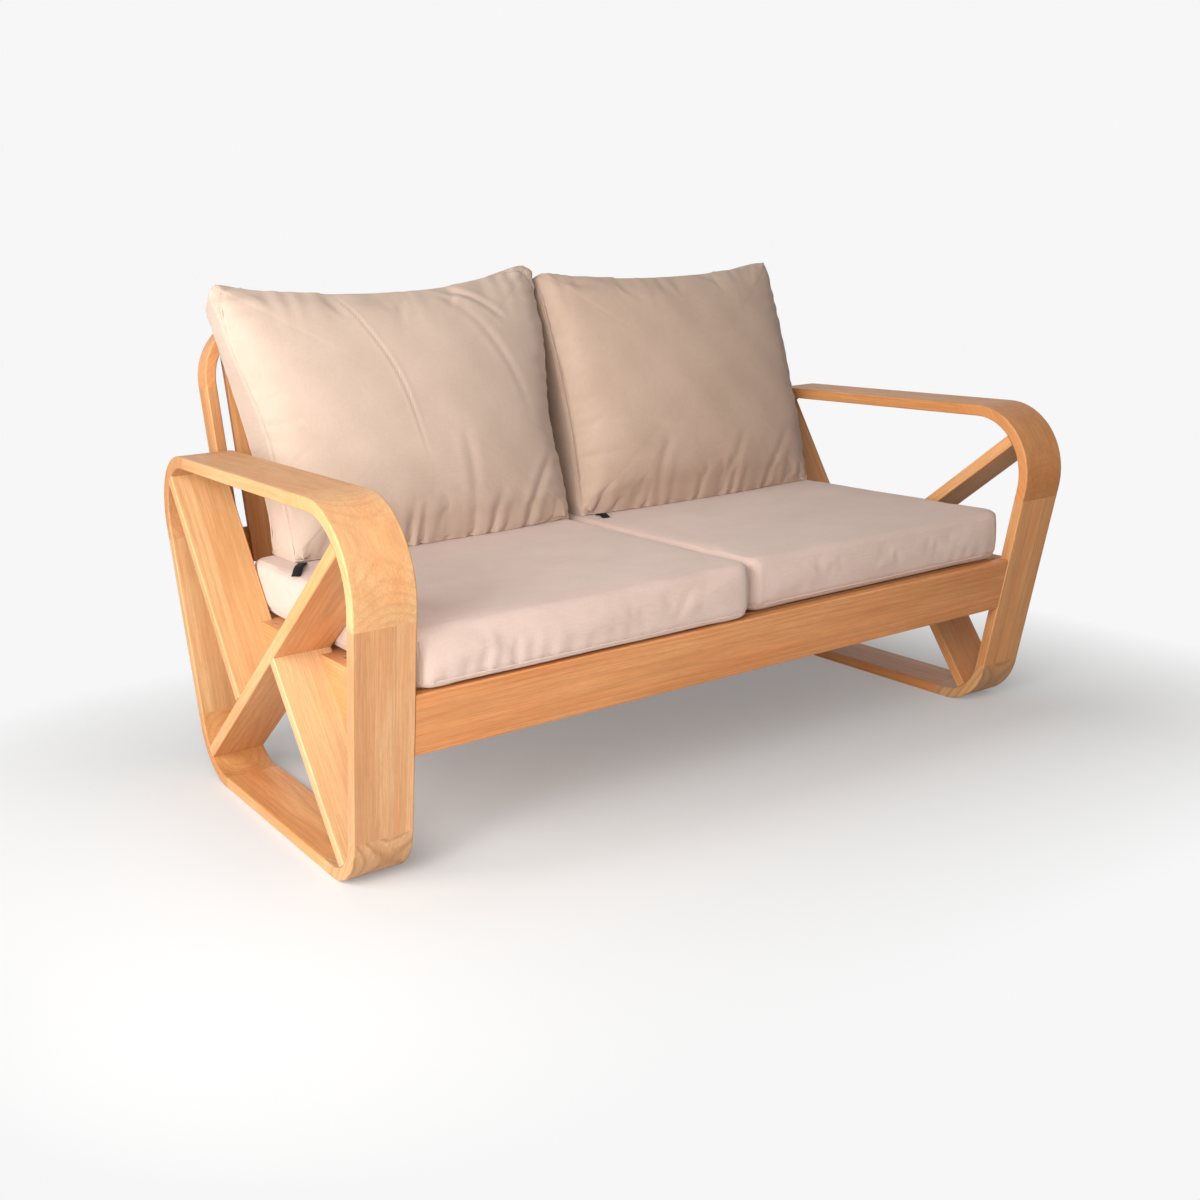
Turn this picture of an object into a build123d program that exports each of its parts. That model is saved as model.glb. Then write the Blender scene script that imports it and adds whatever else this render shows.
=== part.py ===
"""Patio loveseat: two wooden loop sides, a slatted seat and back, and four loose cushions.

Millimetres. X runs along the seat, Y from front to back, Z up. The origin is on the floor, under the
middle of the part. Most pieces are drawn in a section across the seat, where a point is given as its
depth from the sharp front corner of the armrest, and its height above the floor.
"""

import os
from math import atan2, cos, degrees, radians, sin, sqrt, tan

from build123d import *

os.makedirs("parts", exist_ok=True)

# Side loops
overall_length = 1520.0
arm_height = 625.0
top_depth = 894.0
front_foot_setback = 135.0
rear_foot_inset = 74.0
band_width = 103.0
board = 22.0
upper_radius = 132.0
lower_radius = 108.0
round_over = 3.0
slat_round_over = 2.0

# Straight ends of the curved corner blocks, from the end of the curve to the joint
front_upper_leg_tail = 20.0
front_upper_arm_tail = 50.0
rear_upper_arm_tail = 20.0
rear_upper_leg_tail = 21.0
rear_lower_leg_tail = 26.0
rear_lower_runner_tail = 15.0
front_lower_runner_tail = 25.0
front_lower_leg_tail = 6.0

# Ends of the struts' centre lines, as shares of the top depth and of the arm height
brace_front_shares = (0.101, 0.886)
brace_rear_shares = (0.884, 0.081)
rear_strut_top_shares = (0.932, 0.960)
rear_strut_foot_shares = (0.656, 0.333)
front_strut_top_shares = (0.433, 0.526)
front_strut_foot_shares = (0.200, 0.064)

# Seat frame
rail_top = 326.0
rail_height = 104.0
rail_recess = 1.0
front_rail_thickness = 22.0
rear_rail_thickness = 22.0
side_rail_thickness = 22.0
bearer_thickness = 30.0
seat_slat_count = 6
seat_slat_gap = 34.0
seat_slat_thickness = 15.0
seat_slat_housing = 12.0
seat_slat_margin = 8.0

# Back frame, which leans like the rear legs
back_rise = 230.0
back_depth = 47.5
stile_thickness = 21.0
back_radius = 125.0
back_corner_tail = 5.0
lower_rail_lift = 67.5
lower_rail_height = 67.0
lower_rail_thickness = 20.0
lower_rail_housing = 8.0
back_slat_count = 9
back_slat_gap = 22.8
back_slat_thickness = 15.0
back_slat_tongue = 5.0

# Cushions and their tags
soft_gap = 0.3
seat_cushion_rear_gap = 33.0
seat_cushion_thickness = 98.0
seat_cushion_corner = 32.0
seat_cushion_top_edge = 26.0
seat_cushion_bottom_edge = 12.0
left_seat_cushion_slip = -6.0
right_seat_cushion_slip = 14.0
back_cushion_slack = 17.0
back_cushion_height = 478.0
back_cushion_boxing = 105.0
back_cushion_front_crown = 40.0
back_cushion_rear_crown = 16.0
back_cushion_crown_share = 0.08
back_cushion_corner = 28.0
back_cushion_top_sag = 20.0
back_cushion_side_pull = 8.0
back_cushion_lean = 16.5
left_back_cushion_end_gap = 16.0
right_back_cushion_end_gap = 9.0
tag_length = 60.0
tag_width = 15.0
tag_thickness = 1.5
tag_inset = 45.0

# Joints and fasteners
joint_gap = 0.15
tenon_length = 40.0
tenon_width = 60.0
tenon_thickness = 8.0
dowel_radius = 5.0
dowel_length = 50.0
dowel_in_board = 14.0
strut_dowel_spacing = 44.0
front_rail_dowel_share = 0.36
side_rail_dowel_share = 0.12
bearer_dowel_share = 0.25
back_dowel_spacing = 22.0
bolt_radius = 4.0
bolt_head_radius = 6.5
bolt_head_height = 6.0
bolt_sink = 1.0
bolt_length = 60.0
insert_radius = 6.5
insert_length = 20.0
rear_rail_bolt_share = 0.27
stile_bolt_share = 0.29
screw_radius = 2.0
screw_head_radius = 4.0
screw_length = 30.0
seat_screw_end_share = 0.5
back_screw_share = 0.25

# How far a cutting shape runs past what it cuts
overrun = 5.0

# Derived sizes
front_lean = atan2(front_foot_setback, arm_height)
back_lean = atan2(rear_foot_inset, arm_height)
cushion_lean = radians(back_cushion_lean)
inner_half = overall_length / 2 - band_width
rail_bottom = rail_top - rail_height
rail_middle = rail_top - rail_height / 2
front_reach = upper_radius * (1 + sin(front_lean)) / cos(front_lean) - upper_radius
rear_reach = top_depth + (back_rise - round_over) * sin(back_lean) + round_over * (1 - cos(back_lean))
depth_middle = (front_reach + rear_reach) / 2

# The two sides: name, outer or inner face where the loop starts, where its rail starts, way to the middle
sides = [
    ("left", -overall_length / 2, -inner_half - side_rail_thickness, 1),
    ("right", inner_half, inner_half, -1),
]


def across(x):
    """Plane across the seat at x, whose own axes run to the back and up."""
    return Plane(origin=(x, -depth_middle, 0), x_dir=(0, 1, 0), z_dir=(1, 0, 0))


def placed(x, point):
    """Point of the part for a section point at x."""
    return Vector(x, point.X - depth_middle, point.Y)


def heading(direction):
    """Direction of the part for a direction in the section."""
    return Vector(0, direction.X, direction.Y)


def along(direction):
    """Axis for choosing the faces and edges that follow a direction in the section."""
    return Axis((0, 0, 0), heading(direction))


def turn(direction):
    """Angle of a section direction, in degrees."""
    return degrees(atan2(direction.Y, direction.X))


def shared(shares):
    """Section point from its shares of the top depth and of the arm height."""
    return Vector(shares[0] * top_depth, shares[1] * arm_height)


def front_leg_depth(height):
    """Depth of the front leg's outer face at a height."""
    return front_foot_setback * (1 - height / arm_height)


def rear_leg_depth(height):
    """Depth of the rear leg's outer face at a height, which the back's rear face follows."""
    return top_depth - rear_foot_inset * (1 - height / arm_height)


def front_rail_back(height):
    """Depth of the front rail's inner face at a height."""
    return front_leg_depth(height) + rail_recess + front_rail_thickness / cos(front_lean)


def rear_rail_back(height):
    """Depth of the rear rail's rear face at a height, against the stiles."""
    return rear_leg_depth(height) - back_depth / cos(back_lean)


def rear_rail_front(height):
    """Depth of the rear rail's front face at a height."""
    return rear_rail_back(height) - rear_rail_thickness / cos(back_lean)


def write(builder, name):
    """Label a finished piece and write its file."""
    builder.part.label = name
    export_step(builder.part, f"parts/{name}.step")


# Outline of a side loop, from the front top corner round by the back
corner_names = ["front_upper_corner", "rear_upper_corner", "rear_lower_corner", "front_lower_corner"]
member_names = ["armrest", "rear_leg", "runner", "front_leg"]
corner_points = [
    Vector(0, arm_height),
    Vector(top_depth, arm_height),
    Vector(top_depth - rear_foot_inset, 0),
    Vector(front_foot_setback, 0),
]
corner_radii = [upper_radius, upper_radius, lower_radius, lower_radius]
tails_before = [front_upper_leg_tail, rear_upper_arm_tail, rear_lower_leg_tail, front_lower_runner_tail]
tails_after = [front_upper_arm_tail, rear_upper_leg_tail, rear_lower_runner_tail, front_lower_leg_tail]
corner_total = len(corner_points)
member_ways = [
    (corner_points[(i + 1) % corner_total] - corner_points[i]).normalized() for i in range(corner_total)
]
inward_ways = [Vector(way.Y, -way.X) for way in member_ways]
tangents = [
    corner_radii[i] / tan(radians((-member_ways[i - 1]).get_angle(member_ways[i])) / 2)
    for i in range(corner_total)
]
leaving_joints = [
    corner_points[i] + member_ways[i] * (tangents[i] + tails_after[i]) for i in range(corner_total)
]
arriving_joints = [
    corner_points[i] - member_ways[i - 1] * (tangents[i] + tails_before[i]) for i in range(corner_total)
]
curve_centres = [
    corner_points[i] + member_ways[i] * tangents[i] + inward_ways[i] * corner_radii[i]
    for i in range(corner_total)
]

with BuildSketch() as loop_face:
    with BuildLine():
        Polyline(*corner_points, close=True)
    make_face()
    fillet(loop_face.vertices().group_by(Axis.Y)[-1], upper_radius)
    fillet(loop_face.vertices().group_by(Axis.Y)[0], lower_radius)

with BuildSketch() as loop_opening:
    add(loop_face.sketch)
    offset(amount=-board)

with BuildSketch() as side_rail_face:
    with Locations((top_depth / 2, rail_middle)):
        Rectangle(top_depth, rail_height)
    add(loop_opening.sketch, mode=Mode.INTERSECT)

# Centre lines of the struts
brace_front = shared(brace_front_shares)
brace_rear = shared(brace_rear_shares)
rear_strut_top = shared(rear_strut_top_shares)
rear_strut_foot = shared(rear_strut_foot_shares)
front_strut_top = shared(front_strut_top_shares)
front_strut_foot = shared(front_strut_foot_shares)
brace_way = (brace_rear - brace_front).normalized()
brace_up = Vector(-brace_way.Y, brace_way.X)
rear_strut_way = (rear_strut_top - rear_strut_foot).normalized()
front_strut_way = (front_strut_foot - front_strut_top).normalized()


def curve_hit(start, way, index):
    """Where a line meets the inside of a curved corner block."""
    offset_from_centre = start - curve_centres[index]
    inner_radius = corner_radii[index] - board
    run = way.dot(offset_from_centre)
    beyond = max(run * run - offset_from_centre.length**2 + inner_radius**2, 0)
    return start + way * (sqrt(beyond) - run)


def brace_hit(start, way, rise):
    """Where a line meets the long brace's face that lies a rise above its centre line."""
    face_point = brace_front + brace_up * rise
    return start + way * ((face_point - start).dot(brace_up) / way.dot(brace_up))


def draw_strip(start, end):
    """Draw a board on edge about a centre line, long enough to be trimmed at both ends."""
    run = end - start
    with Locations((start + end) / 2):
        Rectangle(run.length + 2 * upper_radius, board, rotation=turn(run))


def cut_beyond_brace(rise):
    """Cut away all that lies past the long brace's upper or lower face."""
    face_middle = (brace_front + brace_rear) / 2 + brace_up * rise
    away = brace_up * (-1 if rise > 0 else 1)
    with Locations(face_middle + away * top_depth / 2):
        Rectangle(2 * top_depth, top_depth, rotation=turn(brace_way), mode=Mode.SUBTRACT)


def draw_tenons(places, margin):
    """Draw loose tenons in the section, grown by a margin on every side."""
    for place, way in places:
        with Locations(place):
            Rectangle(tenon_length + 2 * margin, tenon_thickness + 2 * margin, rotation=turn(way))


def cut_tenons(loop_x, places):
    """Cut the pockets of loose tenons, centred in the width of a loop that starts at loop_x."""
    with BuildSketch(across(loop_x + (band_width - tenon_width) / 2 - joint_gap)) as pockets:
        draw_tenons(places, joint_gap)
    extrude(pockets.sketch, amount=tenon_width + 2 * joint_gap, mode=Mode.SUBTRACT)


def dowel_planes(points, way, depth_in_board=dowel_in_board):
    """Planes at the buried ends of dowels that cross a joint at these points, pointing their way."""
    return [Plane(origin=point - way * depth_in_board, z_dir=way) for point in points]


def cut_dowels(planes):
    """Cut the holes of dowels, slightly larger than the dowels."""
    with Locations(*[plane.offset(-joint_gap) for plane in planes]):
        Cylinder(
            dowel_radius + joint_gap,
            dowel_length + 2 * joint_gap,
            align=(Align.CENTER, Align.CENTER, Align.MIN),
            mode=Mode.SUBTRACT,
        )


def strut_dowels(loop_x, point, way):
    """Planes of the pair of dowels in a strut's end joint, spread over the loop's width."""
    middle = loop_x + band_width / 2
    places = [middle - strut_dowel_spacing / 2, middle + strut_dowel_spacing / 2]
    return dowel_planes([placed(x, point) for x in places], heading(way))


def rail_heights(share):
    """The two heights that lie a share of the rails' height above and below their middle."""
    return [rail_middle - share * rail_height, rail_middle + share * rail_height]


joint_places = []
for i in range(corner_total):
    joint_places.append((leaving_joints[i] + inward_ways[i] * board / 2, member_ways[i]))
    joint_places.append((arriving_joints[i] + inward_ways[i - 1] * board / 2, member_ways[i - 1]))

brace_front_hit = curve_hit(brace_front, -brace_way, 0)
brace_rear_hit = curve_hit(brace_rear, brace_way, 2)
rear_strut_top_hit = curve_hit(rear_strut_foot, rear_strut_way, 1)
rear_strut_foot_hit = brace_hit(rear_strut_foot, rear_strut_way, board / 2)
front_strut_top_hit = brace_hit(front_strut_foot, front_strut_way, -board / 2)
front_strut_foot_hit = curve_hit(front_strut_top, front_strut_way, 3)

# Dowels between the front rail and the front legs, and bolts that hold the rear rail and the stiles
front_rail_dowels = {}
for side, loop_x, rail_x, inboard in sides:
    points = [
        placed(-inboard * inner_half, Vector(front_rail_back(z) - front_rail_thickness / 2, z))
        for z in rail_heights(front_rail_dowel_share)
    ]
    front_rail_dowels[side] = dowel_planes(points, Vector(inboard, 0, 0), dowel_length / 2)

rear_rail_bolts = {}
stile_bolts = {}
for side, loop_x, rail_x, inboard in sides:
    rear_rail_bolts[side] = [
        Plane(
            origin=placed(
                -inboard * (inner_half + side_rail_thickness),
                Vector(rear_rail_back(z) - rear_rail_thickness / 2, z),
            ),
            z_dir=(-inboard, 0, 0),
        )
        for z in rail_heights(rear_rail_bolt_share)
    ]
    stile_bolts[side] = [
        Plane(
            origin=placed(-inboard * (inner_half - stile_thickness), Vector(rear_leg_depth(z) - board / 2, z)),
            z_dir=(inboard, 0, 0),
        )
        for z in rail_heights(stile_bolt_share)
    ]


def cut_bolt_seat(planes, thickness):
    """Drill the piece under the bolt heads, with a recess for each head."""
    with Locations(*planes):
        CounterBoreHole(
            radius=bolt_radius + joint_gap,
            counter_bore_radius=bolt_head_radius + joint_gap,
            counter_bore_depth=bolt_head_height + bolt_sink,
            depth=thickness + overrun,
        )


def cut_insert_hole(planes):
    """Drill the piece that holds the threaded inserts, to just past the bolts' tips."""
    with Locations(*planes):
        Hole(
            insert_radius + joint_gap,
            depth=bolt_sink + bolt_head_height + bolt_length + joint_gap,
        )


# Seat slats and their screws
slat_span_start = front_rail_back(rail_top - seat_slat_thickness) + seat_slat_margin
slat_span_end = rear_rail_front(rail_top - seat_slat_thickness) - seat_slat_margin
seat_slat_pitch = (slat_span_end - slat_span_start + seat_slat_gap) / seat_slat_count
seat_slat_width = seat_slat_pitch - seat_slat_gap
seat_slat_depths = [
    slat_span_start + seat_slat_width / 2 + i * seat_slat_pitch for i in range(seat_slat_count)
]
seat_slat_half = inner_half + seat_slat_housing
seat_screw_half = seat_slat_half - seat_slat_housing * seat_screw_end_share
seat_screw_rows = {
    place: [Plane(origin=placed(x, Vector(depth, rail_top))) for depth in seat_slat_depths]
    for place, x in (("left", -seat_screw_half), ("middle", 0), ("right", seat_screw_half))
}


def cut_screws(planes):
    """Drill and countersink for the slat screws."""
    with Locations(*planes):
        CounterSinkHole(
            radius=screw_radius + joint_gap,
            counter_sink_radius=screw_head_radius + joint_gap,
            depth=screw_length + joint_gap,
            counter_sink_angle=90,
        )


# Side loops, their struts and their seat rails
all_dowels = []
for side, loop_x, rail_x, inboard in sides:
    corner_dowels = {
        "front_upper_corner": strut_dowels(loop_x, brace_front_hit, brace_way),
        "rear_lower_corner": strut_dowels(loop_x, brace_rear_hit, -brace_way),
        "rear_upper_corner": strut_dowels(loop_x, rear_strut_top_hit, -rear_strut_way),
        "front_lower_corner": strut_dowels(loop_x, front_strut_foot_hit, -front_strut_way),
    }
    rear_strut_dowels = strut_dowels(loop_x, rear_strut_foot_hit, rear_strut_way)
    front_strut_dowels = strut_dowels(loop_x, front_strut_top_hit, front_strut_way)
    rail_front_dowels = dowel_planes(
        [
            placed(rail_x + side_rail_thickness / 2, Vector(front_leg_depth(z) + board / cos(front_lean), z))
            for z in rail_heights(side_rail_dowel_share)
        ],
        Vector(0, 1, 0),
    )
    rail_rear_dowels = dowel_planes(
        [
            placed(rail_x + side_rail_thickness / 2, Vector(rear_leg_depth(z) - board / cos(back_lean), z))
            for z in rail_heights(side_rail_dowel_share)
        ],
        Vector(0, -1, 0),
    )
    for planes in corner_dowels.values():
        all_dowels += planes
    all_dowels += rear_strut_dowels + front_strut_dowels + rail_front_dowels + rail_rear_dowels
    all_dowels += front_rail_dowels[side]

    for i, name in enumerate(member_names):
        after = (i + 1) % corner_total
        with BuildPart() as member:
            with BuildSketch(across(loop_x)):
                with BuildLine():
                    Polyline(
                        leaving_joints[i],
                        arriving_joints[after],
                        arriving_joints[after] + inward_ways[i] * board,
                        leaving_joints[i] + inward_ways[i] * board,
                        close=True,
                    )
                make_face()
            extrude(amount=band_width)
            fillet(member.edges().filter_by(along(member_ways[i])), round_over)
            cut_tenons(loop_x, [joint_places[2 * i], joint_places[2 * after + 1]])
            if name == "front_leg":
                cut_dowels(front_rail_dowels[side] + rail_front_dowels)
            if name == "rear_leg":
                cut_dowels(rail_rear_dowels)
                cut_insert_hole(stile_bolts[side])
        write(member, f"{side}_{name}")

    for i, name in enumerate(corner_names):
        with BuildPart() as corner:
            with BuildSketch(across(loop_x)):
                with BuildLine():
                    Polyline(
                        corner_points[i] - (inward_ways[i] + inward_ways[i - 1]) * overrun,
                        leaving_joints[i] - inward_ways[i] * overrun,
                        leaving_joints[i] + inward_ways[i] * (board + overrun),
                        arriving_joints[i] + inward_ways[i - 1] * (board + overrun),
                        arriving_joints[i] - inward_ways[i - 1] * overrun,
                        close=True,
                    )
                make_face()
                add(loop_face.sketch, mode=Mode.INTERSECT)
                add(loop_opening.sketch, mode=Mode.SUBTRACT)
            extrude(amount=band_width)
            joint_faces = corner.faces().filter_by(along(member_ways[i]))
            joint_faces += corner.faces().filter_by(along(member_ways[i - 1]))
            fillet(corner.faces().filter_by(Axis.X).edges() - joint_faces.edges(), round_over)
            cut_tenons(loop_x, [joint_places[2 * i], joint_places[2 * i + 1]])
            cut_dowels(corner_dowels[name])
        write(corner, f"{side}_{name}")

    with BuildPart() as long_brace:
        with BuildSketch(across(loop_x)):
            draw_strip(brace_front, brace_rear)
            add(loop_opening.sketch, mode=Mode.INTERSECT)
        extrude(amount=band_width)
        fillet(long_brace.edges().filter_by(along(brace_way)), round_over)
        with BuildSketch(across(rail_x)):
            add(side_rail_face.sketch)
        extrude(amount=side_rail_thickness, mode=Mode.SUBTRACT)
        cut_dowels(corner_dowels["front_upper_corner"] + corner_dowels["rear_lower_corner"])
        cut_dowels(rear_strut_dowels + front_strut_dowels)
    write(long_brace, f"{side}_long_brace")

    with BuildPart() as rear_strut:
        with BuildSketch(across(loop_x)):
            draw_strip(rear_strut_foot, rear_strut_top)
            add(loop_opening.sketch, mode=Mode.INTERSECT)
            cut_beyond_brace(board / 2)
        extrude(amount=band_width)
        fillet(rear_strut.edges().filter_by(along(rear_strut_way)), round_over)
        with BuildSketch(across(rail_x)):
            add(side_rail_face.sketch)
        extrude(amount=side_rail_thickness, mode=Mode.SUBTRACT)
        cut_dowels(corner_dowels["rear_upper_corner"] + rear_strut_dowels)
    write(rear_strut, f"{side}_rear_strut")

    with BuildPart() as front_strut:
        with BuildSketch(across(loop_x)):
            draw_strip(front_strut_top, front_strut_foot)
            add(loop_opening.sketch, mode=Mode.INTERSECT)
            cut_beyond_brace(-board / 2)
        extrude(amount=band_width)
        fillet(front_strut.edges().filter_by(along(front_strut_way)), round_over)
        with BuildSketch(across(rail_x)):
            add(side_rail_face.sketch)
        extrude(amount=side_rail_thickness, mode=Mode.SUBTRACT)
        cut_dowels(corner_dowels["front_lower_corner"] + front_strut_dowels)
    write(front_strut, f"{side}_front_strut")

    with BuildPart() as side_rail:
        with BuildSketch(across(rail_x)):
            add(side_rail_face.sketch)
        extrude(amount=side_rail_thickness)
        fillet(side_rail.edges().filter_by(Axis.Y), slat_round_over)
        with BuildSketch(across(-seat_slat_half)):
            with Locations(*[(depth, rail_top - seat_slat_thickness / 2) for depth in seat_slat_depths]):
                Rectangle(seat_slat_width, seat_slat_thickness)
        extrude(amount=2 * seat_slat_half, mode=Mode.SUBTRACT)
        cut_dowels(rail_front_dowels + rail_rear_dowels)
        cut_bolt_seat(rear_rail_bolts[side], side_rail_thickness)
        cut_screws(seat_screw_rows[side])
    write(side_rail, f"{side}_side_rail")

# Front and rear rails, and the bearer between them
with BuildPart() as front_rail:
    with BuildSketch(across(-inner_half)):
        with BuildLine():
            Polyline(
                (front_leg_depth(rail_top) + rail_recess, rail_top),
                (front_leg_depth(rail_bottom) + rail_recess, rail_bottom),
                (front_rail_back(rail_bottom), rail_bottom),
                (front_rail_back(rail_top), rail_top),
                close=True,
            )
        make_face()
    extrude(amount=2 * inner_half)
    fillet(front_rail.edges().filter_by(Axis.X), round_over)
    cut_dowels(front_rail_dowels["left"] + front_rail_dowels["right"])
    bearer_heights = [
        rail_bottom + share * (rail_height - seat_slat_thickness)
        for share in (bearer_dowel_share, 1 - bearer_dowel_share)
    ]
    bearer_front_dowels = dowel_planes(
        [placed(0, Vector(front_rail_back(z), z)) for z in bearer_heights], Vector(0, 1, 0)
    )
    cut_dowels(bearer_front_dowels)
write(front_rail, "front_rail")

with BuildPart() as rear_rail:
    with BuildSketch(across(-inner_half)):
        with BuildLine():
            Polyline(
                (rear_rail_front(rail_top), rail_top),
                (rear_rail_front(rail_bottom), rail_bottom),
                (rear_rail_back(rail_bottom), rail_bottom),
                (rear_rail_back(rail_top), rail_top),
                close=True,
            )
        make_face()
    extrude(amount=2 * inner_half)
    fillet(rear_rail.edges().filter_by(Axis.X), slat_round_over)
    cut_insert_hole(rear_rail_bolts["left"] + rear_rail_bolts["right"])
    bearer_rear_dowels = dowel_planes(
        [placed(0, Vector(rear_rail_front(z), z)) for z in bearer_heights], Vector(0, -1, 0)
    )
    cut_dowels(bearer_rear_dowels)
write(rear_rail, "rear_rail")
all_dowels += bearer_front_dowels + bearer_rear_dowels

bearer_top = rail_top - seat_slat_thickness
with BuildPart() as centre_bearer:
    with BuildSketch(across(-bearer_thickness / 2)):
        with BuildLine():
            Polyline(
                (front_rail_back(bearer_top), bearer_top),
                (front_rail_back(rail_bottom), rail_bottom),
                (rear_rail_front(rail_bottom), rail_bottom),
                (rear_rail_front(bearer_top), bearer_top),
                close=True,
            )
        make_face()
    extrude(amount=bearer_thickness)
    fillet(centre_bearer.edges().filter_by(Axis.Y), slat_round_over)
    cut_dowels(bearer_front_dowels + bearer_rear_dowels)
    cut_screws(seat_screw_rows["middle"])
write(centre_bearer, "centre_bearer")

for i, depth in enumerate(seat_slat_depths):
    with BuildPart() as seat_slat:
        with BuildSketch(across(-seat_slat_half)):
            with Locations((depth, rail_top - seat_slat_thickness / 2)):
                Rectangle(seat_slat_width, seat_slat_thickness)
        extrude(amount=2 * seat_slat_half)
        fillet(seat_slat.edges().filter_by(Axis.X), slat_round_over)
        cut_screws([row[i] for row in seat_screw_rows.values()])
    write(seat_slat, f"seat_slat_{i + 1}")

# Back frame, drawn on its own leaning plane whose origin is level with the armrests
back_rear = Plane(
    origin=placed(0, corner_points[1]),
    x_dir=(1, 0, 0),
    z_dir=(0, -cos(back_lean), sin(back_lean)),
)
back_up = Axis((0, 0, 0), back_rear.y_dir)
back_through = Axis((0, 0, 0), back_rear.z_dir)
stile_foot = -(arm_height - rail_bottom) / cos(back_lean)
back_opening_half = inner_half - stile_thickness
back_joint_height = back_rise - back_radius - back_corner_tail
back_joint_x = inner_half - back_radius - back_corner_tail
lower_rail_foot = -(arm_height - rail_top - lower_rail_lift) / cos(back_lean)
back_slat_pitch = (2 * back_opening_half - back_slat_gap) / back_slat_count
back_slat_width = back_slat_pitch - back_slat_gap
back_slat_places = [
    -back_opening_half + back_slat_gap + back_slat_width / 2 + i * back_slat_pitch
    for i in range(back_slat_count)
]
back_dowel_depths = [(back_depth - back_dowel_spacing) / 2, (back_depth + back_dowel_spacing) / 2]


with BuildSketch() as back_face:
    with Locations((0, (back_rise + stile_foot) / 2)):
        Rectangle(2 * inner_half, back_rise - stile_foot)
    fillet(back_face.vertices().group_by(Axis.Y)[-1], back_radius)

with BuildSketch() as back_opening:
    with Locations((0, (back_rise - stile_thickness + stile_foot) / 2)):
        Rectangle(2 * back_opening_half, back_rise - stile_thickness - stile_foot)
    fillet(back_opening.vertices().group_by(Axis.Y)[-1], back_radius - stile_thickness)

with BuildSketch() as slat_reach:
    add(back_opening.sketch)
    offset(amount=back_slat_tongue)

with BuildSketch() as all_back_slats:
    with Locations(*[(x, (back_rise + lower_rail_foot) / 2) for x in back_slat_places]):
        Rectangle(back_slat_width, back_rise - lower_rail_foot)
    add(slat_reach.sketch, mode=Mode.INTERSECT)

top_joint_dowels = {}
stile_joint_dowels = {}
for side, loop_x, rail_x, inboard in sides:
    rail_end = [
        back_rear.offset(depth).from_local_coords((-inboard * back_joint_x, back_rise - stile_thickness / 2, 0))
        for depth in back_dowel_depths
    ]
    top_joint_dowels[side] = dowel_planes(rail_end, Vector(inboard, 0, 0), dowel_length / 2)
    stile_end = [
        back_rear.offset(depth).from_local_coords(
            (-inboard * (inner_half - stile_thickness / 2), back_joint_height, 0)
        )
        for depth in back_dowel_depths
    ]
    stile_joint_dowels[side] = dowel_planes(stile_end, back_rear.y_dir, dowel_length / 2)
    all_dowels += top_joint_dowels[side] + stile_joint_dowels[side]

with BuildPart() as back_top_rail:
    with BuildSketch(back_rear):
        with Locations((0, back_rise - stile_thickness / 2)):
            Rectangle(2 * back_joint_x, stile_thickness)
    extrude(amount=back_depth)
    fillet(back_top_rail.edges().filter_by(Axis.X), round_over)
    with BuildSketch(back_rear.offset(lower_rail_thickness)):
        add(all_back_slats.sketch)
    extrude(amount=back_slat_thickness, mode=Mode.SUBTRACT)
    cut_dowels(top_joint_dowels["left"] + top_joint_dowels["right"])
write(back_top_rail, "back_top_rail")

back_screw_heights = [
    lower_rail_foot + share * lower_rail_height for share in (back_screw_share, 1 - back_screw_share)
]
back_screw_planes = [
    [
        Plane(origin=back_rear.from_local_coords((x, height, 0)), z_dir=-back_rear.z_dir)
        for height in back_screw_heights
    ]
    for x in back_slat_places
]

with BuildPart() as back_lower_rail:
    with BuildSketch(back_rear):
        with Locations((0, lower_rail_foot + lower_rail_height / 2)):
            Rectangle(2 * (back_opening_half + lower_rail_housing), lower_rail_height)
    extrude(amount=lower_rail_thickness)
    fillet(back_lower_rail.edges().filter_by(Axis.X), slat_round_over)
    for planes in back_screw_planes:
        cut_screws(planes)
write(back_lower_rail, "back_lower_rail")

for side, loop_x, rail_x, inboard in sides:
    with BuildPart() as back_corner:
        with BuildSketch(back_rear):
            add(back_face.sketch)
            add(back_opening.sketch, mode=Mode.SUBTRACT)
            with Locations((-inboard * (inner_half + back_joint_x) / 2, (back_rise + back_joint_height) / 2)):
                Rectangle(inner_half - back_joint_x, back_rise - back_joint_height, mode=Mode.INTERSECT)
        extrude(amount=back_depth)
        joint_faces = back_corner.faces().filter_by(Axis.X) + back_corner.faces().filter_by(back_up)
        end_faces = joint_faces.filter_by(
            lambda face: abs(abs(face.center().X) - back_joint_x) < round_over
            or abs(back_rear.to_local_coords(face.center()).Y - back_joint_height) < round_over
        )
        fillet(back_corner.faces().filter_by(back_through).edges() - end_faces.edges(), round_over)
        with BuildSketch(back_rear.offset(lower_rail_thickness)):
            add(all_back_slats.sketch)
        extrude(amount=back_slat_thickness, mode=Mode.SUBTRACT)
        cut_dowels(top_joint_dowels[side] + stile_joint_dowels[side])
    write(back_corner, f"back_{side}_corner")

    with BuildPart() as stile:
        with BuildSketch(back_rear):
            with Locations(
                (-inboard * (inner_half - stile_thickness / 2), (stile_foot + back_joint_height) / 2)
            ):
                Rectangle(stile_thickness, back_joint_height - stile_foot)
        extrude(amount=back_depth)
        fillet(stile.edges().filter_by(back_up), round_over)
        with BuildSketch(back_rear):
            with Locations((0, lower_rail_foot + lower_rail_height / 2)):
                Rectangle(2 * (back_opening_half + lower_rail_housing), lower_rail_height)
        extrude(amount=lower_rail_thickness, mode=Mode.SUBTRACT)
        cut_dowels(stile_joint_dowels[side])
        cut_bolt_seat(stile_bolts[side], stile_thickness)
    write(stile, f"back_{side}_stile")

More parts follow.
